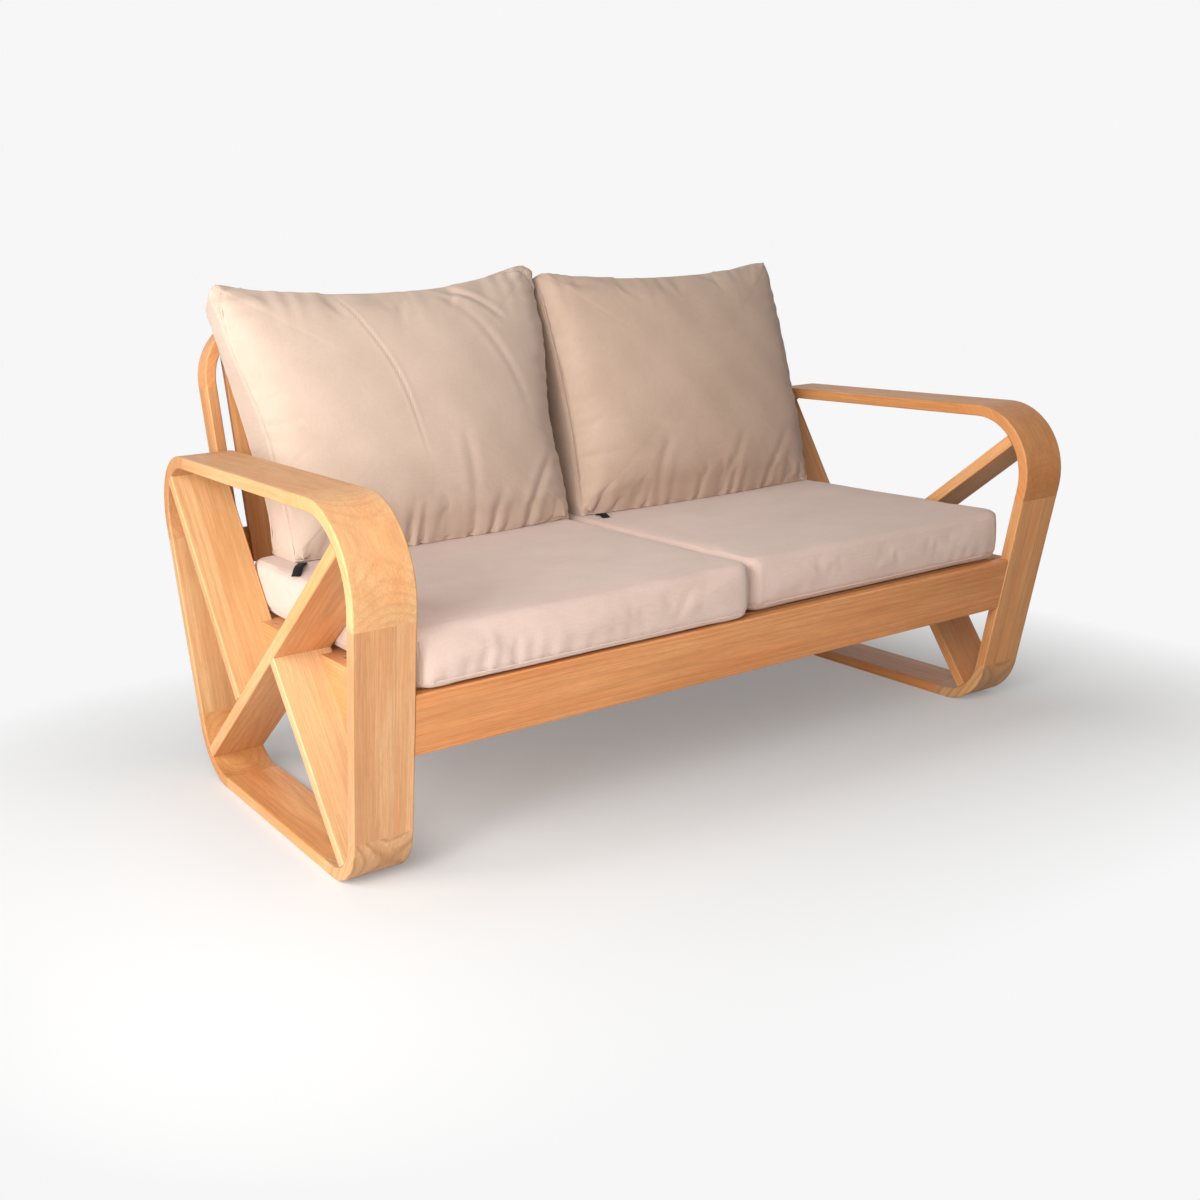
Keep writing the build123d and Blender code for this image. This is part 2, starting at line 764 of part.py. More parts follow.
for i, x in enumerate(back_slat_places):
    with BuildPart() as back_slat:
        with BuildSketch(back_rear.offset(lower_rail_thickness)):
            with Locations((x, (back_rise + lower_rail_foot) / 2)):
                Rectangle(back_slat_width, back_rise - lower_rail_foot)
            add(slat_reach.sketch, mode=Mode.INTERSECT)
        extrude(amount=back_slat_thickness)
        fillet(back_slat.edges().filter_by(back_up), slat_round_over)
        cut_screws(back_screw_planes[i])
    write(back_slat, f"back_slat_{i + 1}")

# Cushions: the seat cushions lie on the slats, the back cushions stand on them and lean on the top rail
seat_cushion_width = inner_half - soft_gap * 3 / 2
seat_cushion_foot = rail_top + soft_gap
seat_cushion_top = seat_cushion_foot + seat_cushion_thickness
seat_cushion_front = front_leg_depth(rail_top) + rail_recess
seat_cushion_depth = rear_rail_front(rail_top) - seat_cushion_rear_gap - seat_cushion_front
seat_slips = {"left": left_seat_cushion_slip, "right": right_seat_cushion_slip}
back_cushion_width = inner_half - back_cushion_slack
back_cushion_starts = {
    "left": -inner_half + left_back_cushion_end_gap,
    "right": inner_half - right_back_cushion_end_gap - back_cushion_width,
}
back_cushion_foot = seat_cushion_top + soft_gap
lean_point = Vector(
    top_depth + back_rise * sin(back_lean) - back_depth * cos(back_lean) - soft_gap / cos(cushion_lean),
    arm_height + back_rise * cos(back_lean) + back_depth * sin(back_lean),
)
cushion_up = Vector(sin(cushion_lean), cos(cushion_lean))
cushion_back = Vector(cos(cushion_lean), -sin(cushion_lean))

# The rear panel swells, so its seams stand off the rail by its swell at the rail's height
rail_climb = (lean_point.Y - back_cushion_foot) / cos(cushion_lean)
rail_share = 2 * rail_climb / back_cushion_height - 1
rear_seam_gap = back_cushion_rear_crown * (1 - rail_share**2)
rear_foot = lean_point - cushion_up * rail_climb - Vector(rear_seam_gap / cos(cushion_lean), 0)
front_foot = rear_foot - Vector(back_cushion_boxing / cos(cushion_lean), 0)
rear_top = rear_foot + cushion_up * back_cushion_height
front_top = rear_top - cushion_back * back_cushion_boxing
front_drop = back_cushion_boxing * tan(cushion_lean)
front_height = back_cushion_height + front_drop

# The tag slips under the swell of the front panel as far as the swell leaves room
bezier_middle_share = 0.75
swell_angle = atan2(back_cushion_front_crown / bezier_middle_share, back_cushion_crown_share * front_height)
tag_rise = tag_thickness + soft_gap
tag_rear = front_foot.X - tag_rise * tan(swell_angle - cushion_lean)


def draw_swell(start, end, outward):
    """Curve of the stuffed front panel from seam to seam."""
    run = (end - start) * back_cushion_crown_share
    rise = outward * (back_cushion_front_crown / bezier_middle_share)
    Bezier(start, start + run + rise, end - run + rise, end)


def cushion_plane(low, normal):
    """Plane through the foot of a back cushion's rear seam, with its first axis along the seat."""
    return Plane(origin=(low, rear_foot.X - depth_middle, rear_foot.Y), x_dir=(1, 0, 0), z_dir=normal)


def draw_cushion_section():
    """Level section of a back cushion, from its left end and its rear seams."""
    rear_right = Vector(back_cushion_width, 0)
    front_left = Vector(0, -back_cushion_boxing)
    front_right = rear_right + front_left
    with BuildLine() as rim:
        ThreePointArc((0, 0), rear_right / 2 + Vector(0, back_cushion_rear_crown), rear_right)
        Line(rear_right, front_right)
        draw_swell(front_right, front_left, Vector(0, -1))
        Line(front_left, (0, 0))
    make_face(rim.edges())


def draw_cushion_face():
    """Outline of a back cushion's panels, whose sides and top draw in between their corners."""
    bottom = -front_drop - overrun
    middle = (bottom + back_cushion_height) / 2
    with BuildLine() as rim:
        ThreePointArc((0, bottom), (back_cushion_side_pull, middle), (0, back_cushion_height))
        ThreePointArc(
            (0, back_cushion_height),
            (back_cushion_width / 2, back_cushion_height - back_cushion_top_sag),
            (back_cushion_width, back_cushion_height),
        )
        ThreePointArc(
            (back_cushion_width, back_cushion_height),
            (back_cushion_width - back_cushion_side_pull, middle),
            (back_cushion_width, bottom),
        )
        Line((back_cushion_width, bottom), (0, bottom))
    face = make_face(rim.edges())
    fillet(face.vertices().group_by(Axis.Y)[-1], back_cushion_corner)


for side, loop_x, rail_x, inboard in sides:
    seat_middle = -inboard * (seat_cushion_width + soft_gap) / 2
    seat_front = seat_cushion_front + seat_slips[side]
    with BuildPart() as seat_cushion:
        with BuildSketch(Plane.XY.offset(seat_cushion_foot)):
            with Locations((seat_middle, seat_front + seat_cushion_depth / 2 - depth_middle)):
                RectangleRounded(seat_cushion_width, seat_cushion_depth, seat_cushion_corner)
        extrude(amount=seat_cushion_thickness)
        fillet(seat_cushion.faces().sort_by(Axis.Z)[-1].edges(), seat_cushion_top_edge)
        fillet(seat_cushion.faces().sort_by(Axis.Z)[0].edges(), seat_cushion_bottom_edge)
    write(seat_cushion, f"{side}_seat_cushion")

    back_low = back_cushion_starts[side]
    with BuildPart() as back_cushion:
        with BuildSketch(across(back_low - overrun)):
            with BuildLine():
                Line(front_foot, rear_foot)
                ThreePointArc(
                    rear_foot, (rear_foot + rear_top) / 2 + cushion_back * back_cushion_rear_crown, rear_top
                )
                Line(rear_top, front_top)
                draw_swell(front_top, front_foot, -cushion_back)
            make_face()
        extrude(amount=back_cushion_width + 2 * overrun)
        upward = cushion_plane(back_low, (0, cushion_up.X, cushion_up.Y))
        with BuildSketch(upward.offset(-front_drop - overrun)) as section:
            draw_cushion_section()
        extrude(section.sketch, amount=front_height + 2 * overrun, mode=Mode.INTERSECT)
        forward = cushion_plane(back_low, (0, -cushion_back.X, -cushion_back.Y))
        with BuildSketch(forward.offset(-back_cushion_rear_crown - overrun)) as outline:
            draw_cushion_face()
        extrude(
            outline.sketch,
            amount=back_cushion_rear_crown + back_cushion_boxing + back_cushion_front_crown + 2 * overrun,
            mode=Mode.INTERSECT,
        )
    write(back_cushion, f"{side}_back_cushion")

    with BuildPart() as tag:
        with BuildSketch(Plane.XY.offset(seat_cushion_top + soft_gap)):
            with Locations((back_low + tag_inset, tag_rear - tag_length / 2 - depth_middle)):
                Rectangle(tag_width, tag_length)
        extrude(amount=tag_thickness)
    write(tag, f"{side}_cushion_tag")

# Fasteners, each kind in one piece file
with BuildPart() as loop_tenons:
    for side, loop_x, rail_x, inboard in sides:
        with BuildSketch(across(loop_x + (band_width - tenon_width) / 2)):
            draw_tenons(joint_places, 0)
        extrude(amount=tenon_width)
write(loop_tenons, "loop_tenons")

with BuildPart() as dowels:
    with Locations(*all_dowels):
        Cylinder(dowel_radius, dowel_length, align=(Align.CENTER, Align.CENTER, Align.MIN))
write(dowels, "dowels")

all_bolts = [plane for group in (rear_rail_bolts, stile_bolts) for planes in group.values() for plane in planes]
with BuildPart() as frame_bolts:
    with Locations(*[plane.offset(-bolt_sink) for plane in all_bolts]):
        Cylinder(
            bolt_head_radius, bolt_head_height, align=(Align.CENTER, Align.CENTER, Align.MAX)
        )
    with Locations(*[plane.offset(-bolt_sink - bolt_head_height) for plane in all_bolts]):
        Cylinder(bolt_radius, bolt_length, align=(Align.CENTER, Align.CENTER, Align.MAX))
write(frame_bolts, "frame_bolts")

with BuildPart() as threaded_inserts:
    with Locations(
        *[
            plane.offset(-bolt_sink - bolt_head_height - bolt_length + insert_length)
            for plane in all_bolts
        ]
    ):
        Cylinder(insert_radius, insert_length, align=(Align.CENTER, Align.CENTER, Align.MAX))
        Hole(bolt_radius + joint_gap, depth=insert_length)
write(threaded_inserts, "threaded_inserts")

all_screws = [plane for row in seat_screw_rows.values() for plane in row]
all_screws += [plane for planes in back_screw_planes for plane in planes]
screw_head_height = screw_head_radius - screw_radius
with BuildPart() as slat_screws:
    with Locations(*all_screws):
        Cone(
            screw_radius,
            screw_head_radius,
            screw_head_height,
            align=(Align.CENTER, Align.CENTER, Align.MAX),
        )
        Cylinder(screw_radius, screw_length, align=(Align.CENTER, Align.CENTER, Align.MAX))
write(slat_screws, "slat_screws")
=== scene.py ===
"""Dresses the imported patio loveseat: oiled teak, sewn cushions, and a plain studio around it.

Everything is in metres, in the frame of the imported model: X along the seat, Y to the back, Z up.
"""

import logging
import math
from dataclasses import dataclass, field, replace
from enum import Enum

import bmesh
import bpy
import numpy as np
from mathutils import Matrix, Vector
from mathutils.bvhtree import BVHTree


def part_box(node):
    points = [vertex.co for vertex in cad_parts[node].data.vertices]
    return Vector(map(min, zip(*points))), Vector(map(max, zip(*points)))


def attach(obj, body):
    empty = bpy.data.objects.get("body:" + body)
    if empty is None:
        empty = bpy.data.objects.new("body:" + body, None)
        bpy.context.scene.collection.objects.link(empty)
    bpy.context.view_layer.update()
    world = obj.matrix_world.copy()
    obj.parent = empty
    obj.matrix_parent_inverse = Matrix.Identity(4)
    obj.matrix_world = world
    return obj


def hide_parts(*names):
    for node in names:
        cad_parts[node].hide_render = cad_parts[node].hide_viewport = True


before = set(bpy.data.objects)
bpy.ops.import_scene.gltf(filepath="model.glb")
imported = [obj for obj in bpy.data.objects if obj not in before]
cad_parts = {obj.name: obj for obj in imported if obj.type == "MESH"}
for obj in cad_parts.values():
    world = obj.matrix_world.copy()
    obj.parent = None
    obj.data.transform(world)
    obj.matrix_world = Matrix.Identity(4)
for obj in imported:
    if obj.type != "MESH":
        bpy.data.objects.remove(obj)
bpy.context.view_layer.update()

LOG = logging.getLogger("loveseat")
TAU = 2 * math.pi
QUARTER = math.pi / 2
Colour = tuple[float, float, float]
Point = tuple[float, float, float]
Spot = tuple[float, float]
Span = tuple[float, ...]

# Ways that boards run, and leans of the frame and of the back cushions
LENGTHWISE: Point = (1.0, 0.0, 0.0)
DEPTHWISE: Point = (0.0, 1.0, 0.0)
UPRIGHT: Point = (0.0, 0.0, 1.0)
ARM_HEIGHT = 0.625
FRONT_LEAN = math.atan2(0.135, ARM_HEIGHT)
BACK_LEAN = math.atan2(0.074, ARM_HEIGHT)
CUSHION_LEAN = math.radians(16.5)

# Distance between the points of a seam, and the distance at which a solid's vertices are one
SEAM_STEP = 0.006
MERGE_DISTANCE = 1e-5


class Side(Enum):
    """A side of the loveseat, and the way from it to the middle."""

    LEFT = 1
    RIGHT = -1

    @property
    def word(self) -> str:
        """The side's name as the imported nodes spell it."""
        return self.name.lower()


@dataclass(frozen=True)
class Sawing:
    """Where boards lie from the pith of their log, how far their rings wander, and how wide these are."""

    across: float
    sway: float
    sway_phase: float
    deep: float
    wander: float
    pitch: float


class Cut(Enum):
    """How a board was sawn from the log."""

    FLAT = Sawing(across=0.0, sway=0.012, sway_phase=0.0, deep=0.045, wander=0.030, pitch=1.0)
    RIFT = Sawing(across=0.11, sway=0.0, sway_phase=0.0, deep=0.09, wander=0.012, pitch=0.55)
    BLOCK = Sawing(across=0.0, sway=0.02, sway_phase=QUARTER, deep=0.05, wander=0.022, pitch=1.35)


# Shader tools


@dataclass(frozen=True)
class Noise:
    """Smooth noise: its frequency along each axis, its octaves, and how strong the finer ones are."""

    frequency: Point
    detail: float = 2.0
    roughness: float = 0.5


class Sock:
    """A shader socket on which Python's operators add Math nodes."""

    def __init__(self, shader: "Shader", socket: bpy.types.NodeSocket) -> None:
        """Wrap an output socket of the material being built."""
        self.shader = shader
        self.socket = socket

    def math(self, operation: str, *others: "Sock | float") -> "Sock":
        """Add a Math node that starts with this socket and goes on with the others."""
        return self.shader.math(operation, self, *others)

    def __add__(self, other: "Sock | float") -> "Sock":
        """Sum."""
        return self.math("ADD", other)

    __radd__ = __add__

    def __sub__(self, other: "Sock | float") -> "Sock":
        """Difference."""
        return self.math("SUBTRACT", other)

    def __rsub__(self, other: float) -> "Sock":
        """Difference, from a number."""
        return self.shader.math("SUBTRACT", other, self)

    def __mul__(self, other: "Sock | float") -> "Sock":
        """Product."""
        return self.math("MULTIPLY", other)

    def __truediv__(self, other: "Sock | float") -> "Sock":
        """Quotient."""
        return self.math("DIVIDE", other)

    def __pow__(self, other: float) -> "Sock":
        """Power."""
        return self.math("POWER", other)


class Shader:
    """A material under construction."""

    def __init__(self, name: str) -> None:
        """Start an empty node tree with a Principled shader, in a material of this name."""
        self.material = bpy.data.materials.new(name)
        self.material.use_nodes = True
        self.tree = self.material.node_tree
        self.tree.nodes.clear()
        self.output = self.tree.nodes.new("ShaderNodeOutputMaterial")
        self.surface = self.tree.nodes.new("ShaderNodeBsdfPrincipled")
        self.tree.links.new(self.surface.outputs["BSDF"], self.output.inputs["Surface"])

    def put(self, socket: bpy.types.NodeSocket, value: object) -> None:
        """Fill one input with a link from a wrapped socket, or with a constant."""
        if isinstance(value, Sock):
            self.tree.links.new(value.socket, socket)
        elif isinstance(value, (tuple, list, Vector)) and len(socket.default_value) == 4:
            socket.default_value = (*value[:3], 1.0)
        else:
            socket.default_value = value

    def node(self, kind: str, settings: dict[str, object], values: dict[object, object],
             out: object = 0) -> Sock:
        """Add any node.

        Args:
            kind: the node's type.
            settings: its own settings.
            values: its sockets' values or links, by name or index.
            out: the output to return, by name or index.

        Returns:
            The wanted output.
        """
        made = self.tree.nodes.new(kind)
        for key, value in settings.items():
            setattr(made, key, value)
        for key, value in values.items():
            self.put(made.inputs[key], value)
        return Sock(self, made.outputs[out])

    def math(self, operation: str, *values: "Sock | float") -> Sock:
        """Add a Math node with these inputs, in order."""
        return self.node("ShaderNodeMath", {"operation": operation}, dict(enumerate(values)))

    def vector(self, operation: str, *values: "Sock | Point", out: str = "Vector") -> Sock:
        """Add a Vector Math node with these inputs, in order, and return one of its outputs."""
        return self.node("ShaderNodeVectorMath", {"operation": operation}, dict(enumerate(values)), out)

    def place(self) -> Sock:
        """Return the object coordinates."""
        return self.node("ShaderNodeTexCoord", {}, {}, "Object")

    def split(self, vector: Sock) -> list[Sock]:
        """Return a vector's three parts."""
        made = self.tree.nodes.new("ShaderNodeSeparateXYZ")
        self.put(made.inputs[0], vector)
        return [Sock(self, socket) for socket in made.outputs]

    def noise(self, vector: Sock, noise: Noise) -> Sock:
        """Add smooth noise, read at a vector. Its value lies about 0.5."""
        stretched = self.vector("MULTIPLY", vector, noise.frequency)
        values = {"Vector": stretched, "Scale": 1.0, "Detail": noise.detail, "Roughness": noise.roughness}
        return self.node("ShaderNodeTexNoise", {"noise_dimensions": "3D"}, values)

    def mix(self, share: "Sock | float", first: "Sock | Colour", second: "Sock | Colour") -> Sock:
        """Mix two colours, with this share of the second."""
        settings = {"data_type": "RGBA", "blend_type": "MIX", "clamp_factor": True}
        return self.node("ShaderNodeMix", settings, {0: share, 6: first, 7: second}, out=2)

    def ramp(self, value: Sock, stops: tuple[Spot, ...]) -> Sock:
        """Add a ramp of greys.

        Args:
            value: where on the ramp.
            stops: pairs of place and grey.

        Returns:
            The ramp's grey.
        """
        made = self.tree.nodes.new("ShaderNodeValToRGB")
        elements = made.color_ramp.elements
        while len(elements) < len(stops):
            elements.new(0.5)
        for element, (place, grey) in zip(elements, stops):
            element.position = place
            element.color = (grey, grey, grey, 1.0)
        self.put(made.inputs[0], value)
        return Sock(self, made.outputs[0])

    def level(self, value: Sock, low: float, high: float, start: float = 0.0, end: float = 1.0) -> Sock:
        """Map a value from the range low to high onto the range start to end, clamped."""
        values = {0: value, 1: low, 2: high, 3: start, 4: end}
        return self.node("ShaderNodeMapRange", {"clamp": True}, values)

    def bump(self, height: Sock, strength: float, distance: float) -> Sock:
        """Return the normal bumped by a height, of which 1 stands for a distance in metres."""
        values = {"Height": height, "Strength": strength, "Distance": distance}
        return self.node("ShaderNodeBump", {}, values)

    def finish(self, **values: object) -> bpy.types.Material:
        """Set the shader's inputs.

        Args:
            values: links or constants, with underscores for the spaces of the sockets' names.

        Returns:
            The finished material.
        """
        for key, value in values.items():
            self.put(self.surface.inputs[key.replace("_", " ")], value)
        return self.material


# Finishes


@dataclass(frozen=True)
class Board:
    """How one board lies in the loveseat and in the log that it was cut from, and its tint, which holds its
    own tone and also painted light and shade.
    """

    along: Point
    across: Point = LENGTHWISE
    cut: Cut = Cut.FLAT
    # The board's own tone, and on many boards also painted light and shade: paler where the lamps light it,
    # darker and warmer where it lies in shade
    tint: Colour = (1.05, 1.0, 0.95)
    rings: float = 1.0
    strips: float = 0.0
    centre: Point = (0.0, 0.0, 0.0)
    seed: int = 0


@dataclass(frozen=True)
class Teak:
    """Oiled teak with a honey colour."""

    pale: Colour = (0.665, 0.378, 0.178)
    body: Colour = (0.54, 0.260, 0.101)
    dark: Colour = (0.31, 0.108, 0.030)
    blush: Colour = (1.12, 0.84, 0.74)
    roughness: float = 0.46
    roughness_swing: float = 0.18
    specular: float = 0.35
    bump_share: float = 0.22
    bump_height: float = 0.0006
    board_shift: float = 1.37
    ring_pitch: float = 0.0075
    ring_quiver: float = 0.0035
    ring_stops: tuple[Spot, ...] = ((0.0, 0.45), (0.10, 0.06), (0.55, 0.20), (0.88, 1.0), (1.0, 0.45))
    ring_span: Span = (0.25, 0.75)
    ring_share: Spot = (0.10, 0.40)
    ring_height: float = 0.25
    strip_offset: float = 100.5
    strip_shift: float = 3.1
    strip_contrast: float = 0.16
    glue_line: float = 0.0009
    glue_shade: float = 0.22
    slow: Noise = Noise((1.5, 9.0, 9.0), 2.0, 0.45)
    quick: Noise = Noise((7.0, 55.0, 55.0))
    patch: Noise = Noise((2.6, 14.0, 14.0), 3.0)
    patch_span: Span = (0.30, 0.72)
    redness: Noise = Noise((3.2, 20.0, 20.0), 2.0, 0.6)
    redness_span: Span = (0.45, 0.75, 0.0, 0.45)
    band: Noise = Noise((1.1, 34.0, 34.0), 3.0, 0.55)
    band_span: Span = (0.5, 0.78, 0.0, 0.26)
    streak: Noise = Noise((3.0, 130.0, 130.0))
    streak_span: Span = (0.2, 0.8, 0.91, 1.09)
    fibre: Noise = Noise((16.0, 520.0, 520.0), 3.0, 0.6)
    fibre_span: Span = (0.42, 0.74, 0.0, 0.36)
    fibre_height: float = 0.5
    pore: Noise = Noise((55.0, 1500.0, 1500.0), 1.0)
    pore_span: Span = (0.60, 0.70)
    pore_shade: float = 0.30
    pore_depth: float = 0.7

    def laid(self, shader: Shader, board: Board) -> Sock:
        """Turn the object coordinates into the board's own.

        Args:
            shader: the material being built.
            board: how the board lies.

        Returns:
            The place along the board, across it and into it.
        """
        along = Vector(board.along).normalized()
        across = (Vector(board.across) - along * along.dot(Vector(board.across))).normalized()
        turn = Matrix((along, across, along.cross(across)))
        shift = turn @ -Vector(board.centre)
        values = {0: shader.place(), "Location": shift, "Rotation": turn.to_euler("XYZ")}
        return shader.node("ShaderNodeMapping", {"vector_type": "POINT"}, values)

    def rings(self, shader: Shader, board: Board, sample: Sock, width: Sock, depth: Sock) -> Sock:
        """Grow the year rings.

        Args:
            shader: the material being built.
            board: how the board was sawn.
            sample: where the noise is read.
            width: the place across the board.
            depth: the place into the board.

        Returns:
            How late in its year each place grew.
        """
        saw = board.cut.value
        pith = saw.across + saw.sway * math.sin(board.seed + saw.sway_phase)
        from_pith = ((width - pith) ** 2.0 + (depth - saw.deep) ** 2.0).math("SQRT")
        from_pith = from_pith + (shader.noise(sample, self.slow) - 0.5) * saw.wander
        from_pith = from_pith + (shader.noise(sample, self.quick) - 0.5) * self.ring_quiver
        ring = (from_pith / (self.ring_pitch * saw.pitch)).math("FRACT")
        return shader.ramp(ring, self.ring_stops)

    def material(self, name: str, board: Board) -> bpy.types.Material:
        """Make the wood of one board.

        Args:
            name: the material's name.
            board: how the board lies.

        Returns:
            The material.
        """
        shader = Shader(name)
        run, width, depth = shader.split(self.laid(shader, board))
        jump = board.seed * self.board_shift
        strip_tone = 0.0
        if board.strips:
            counted = width / board.strips + self.strip_offset
            values = {"W": counted.math("FLOOR") + jump}
            chance = shader.node("ShaderNodeTexWhiteNoise", {"noise_dimensions": "1D"}, values, "Value")
            edge = (counted.math("FRACT") - 0.5).math("ABSOLUTE")
            glue = shader.level(edge, 0.5 - self.glue_line / board.strips, 0.5, 0.0, self.glue_shade)
            strip_tone = (chance - 0.5) * self.strip_contrast - glue
            run = run + chance * self.strip_shift
        sample = shader.node("ShaderNodeCombineXYZ", {}, {0: run + jump, 1: width, 2: depth})
        late = self.rings(shader, board, sample, width, depth)
        streak = shader.noise(sample, self.streak)
        fibre = shader.noise(sample, self.fibre)
        pores = shader.level(shader.noise(sample, self.pore), *self.pore_span)
        pale, body, dark = (
            tuple(part * tint for part, tint in zip(colour, board.tint))
            for colour in (self.pale, self.body, self.dark)
        )
        red = tuple(part * factor for part, factor in zip(body, self.blush))
        weak, strong = (share * board.rings for share in self.ring_share)
        colour = shader.mix(shader.level(shader.noise(sample, self.patch), *self.patch_span), pale, body)
        colour = shader.mix(shader.level(shader.noise(sample, self.redness), *self.redness_span), colour, red)
        colour = shader.mix(shader.level(shader.noise(sample, self.band), *self.band_span), colour, dark)
        colour = shader.mix(late * shader.level(streak, *self.ring_span, weak, strong), colour, dark)
        colour = shader.mix(shader.level(fibre, *self.fibre_span), colour, dark)
        colour = shader.mix(pores * self.pore_shade, colour, dark)
        bright = shader.level(streak, *self.streak_span) + strip_tone
        colour = shader.node("ShaderNodeVectorMath", {"operation": "SCALE"}, {0: colour, "Scale": bright})
        height = fibre * self.fibre_height - pores * self.pore_depth - late * self.ring_height
        return shader.finish(
            Base_Color=colour,
            Roughness=(fibre - 0.5) * self.roughness_swing + self.roughness,
            Normal=shader.bump(height, self.bump_share, self.bump_height),
            Specular_IOR_Level=self.specular,
        )


@dataclass(frozen=True)
class Canvas:
    """A plain-woven outdoor fabric."""

    colour: Colour
    shade: Colour
    thread: float = 0.0011
    roughness: float = 0.88
    roughness_swing: float = 0.08
    sheen: float = 0.22
    sheen_roughness: float = 0.45
    specular: float = 0.18
    seed_shift: float = 1.7
    slub: Noise = Noise((60.0, 900.0, 900.0))
    slub_up: Noise = Noise((900.0, 60.0, 60.0))
    slub_span: Span = (0.75, 1.25)
    slub_share: float = 0.25
    mottle: Noise = Noise((9.0, 9.0, 9.0), 3.0, 0.55)
    mottle_span: Span = (0.3, 0.7, 0.0, 0.35)
    # How much darker the weave's hollows between the threads are: painted shade
    weave_share: float = 0.30
    weave_height: float = 0.7
    slub_height: float = 0.5
    bump_share: float = 0.30
    bump_height: float = 0.0005

    def material(self, name: str, seed: int) -> bpy.types.Material:
        """Make the fabric of one cushion.

        Args:
            name: the material's name.
            seed: moves its mottling.

        Returns:
            The material.
        """
        shader = Shader(name)
        place = shader.place()
        moved = shader.vector("ADD", place, (seed * self.seed_shift, 0.0, 0.0))
        rate = math.pi / self.thread
        waves = [(part * rate).math("SINE").math("ABSOLUTE") for part in shader.split(place)]
        weave = (waves[0] + waves[1] + waves[2]) / len(waves)
        slubs = shader.noise(moved, self.slub) + shader.noise(moved, self.slub_up)
        threads = shader.level(slubs, *self.slub_span)
        share = shader.level(shader.noise(moved, self.mottle), *self.mottle_span)
        # Darker in the weave's hollows between the threads: painted shade. The mottle and the slubs are the
        # fabric's own tone.
        share = share + (1.0 - weave) * self.weave_share + threads * self.slub_share
        height = weave * self.weave_height + threads * self.slub_height
        return shader.finish(
            Base_Color=shader.mix(share, self.colour, self.shade),
            Roughness=(threads - 0.5) * self.roughness_swing + self.roughness,
            Normal=shader.bump(height, self.bump_share, self.bump_height),
            Specular_IOR_Level=self.specular,
            Sheen_Weight=self.sheen,
            Sheen_Roughness=self.sheen_roughness,
        )


@dataclass(frozen=True)
class Steel:
    """Satin stainless steel."""

    colour: Colour = (0.60, 0.60, 0.61)
    scratched: Colour = (0.42, 0.42, 0.43)
    scratch: Noise = Noise((3000.0, 200.0, 3000.0))
    roughness_span: Span = (0.3, 0.7, 0.28, 0.45)
    bump_share: float = 0.1
    bump_height: float = 0.0002

    def material(self, name: str) -> bpy.types.Material:
        """Make the steel of the fasteners, as a material of this name."""
        shader = Shader(name)
        scratch = shader.noise(shader.place(), self.scratch)
        return shader.finish(
            Base_Color=shader.mix(scratch, self.colour, self.scratched),
            Roughness=shader.level(scratch, *self.roughness_span),
            Normal=shader.bump(scratch, self.bump_share, self.bump_height),
            Metallic=1.0,
        )


TEAK = Teak()
SEAT_CANVAS = Canvas(colour=(0.690, 0.522, 0.446), shade=(0.560, 0.410, 0.345))
LEFT_BACK_CANVAS = Canvas(colour=(0.610, 0.468, 0.380), shade=(0.480, 0.350, 0.270))
# A darker, more saturated copy of the left back canvas: painted shade, where the left cushion shades the
# right one from the lamps
SHADED_RIGHT_BACK_CANVAS = Canvas(colour=(0.565, 0.415, 0.325), shade=(0.445, 0.308, 0.228))
TAG_CANVAS = Canvas(colour=(0.010, 0.010, 0.011), shade=(0.004, 0.004, 0.005), thread=0.0007, sheen=0.01)


# Wooden frame


def clad(name: str, material: bpy.types.Material) -> None:
    """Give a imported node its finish."""
    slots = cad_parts[name].data.materials
    slots.clear()
    slots.append(material)
    LOG.info("finished %s", name)


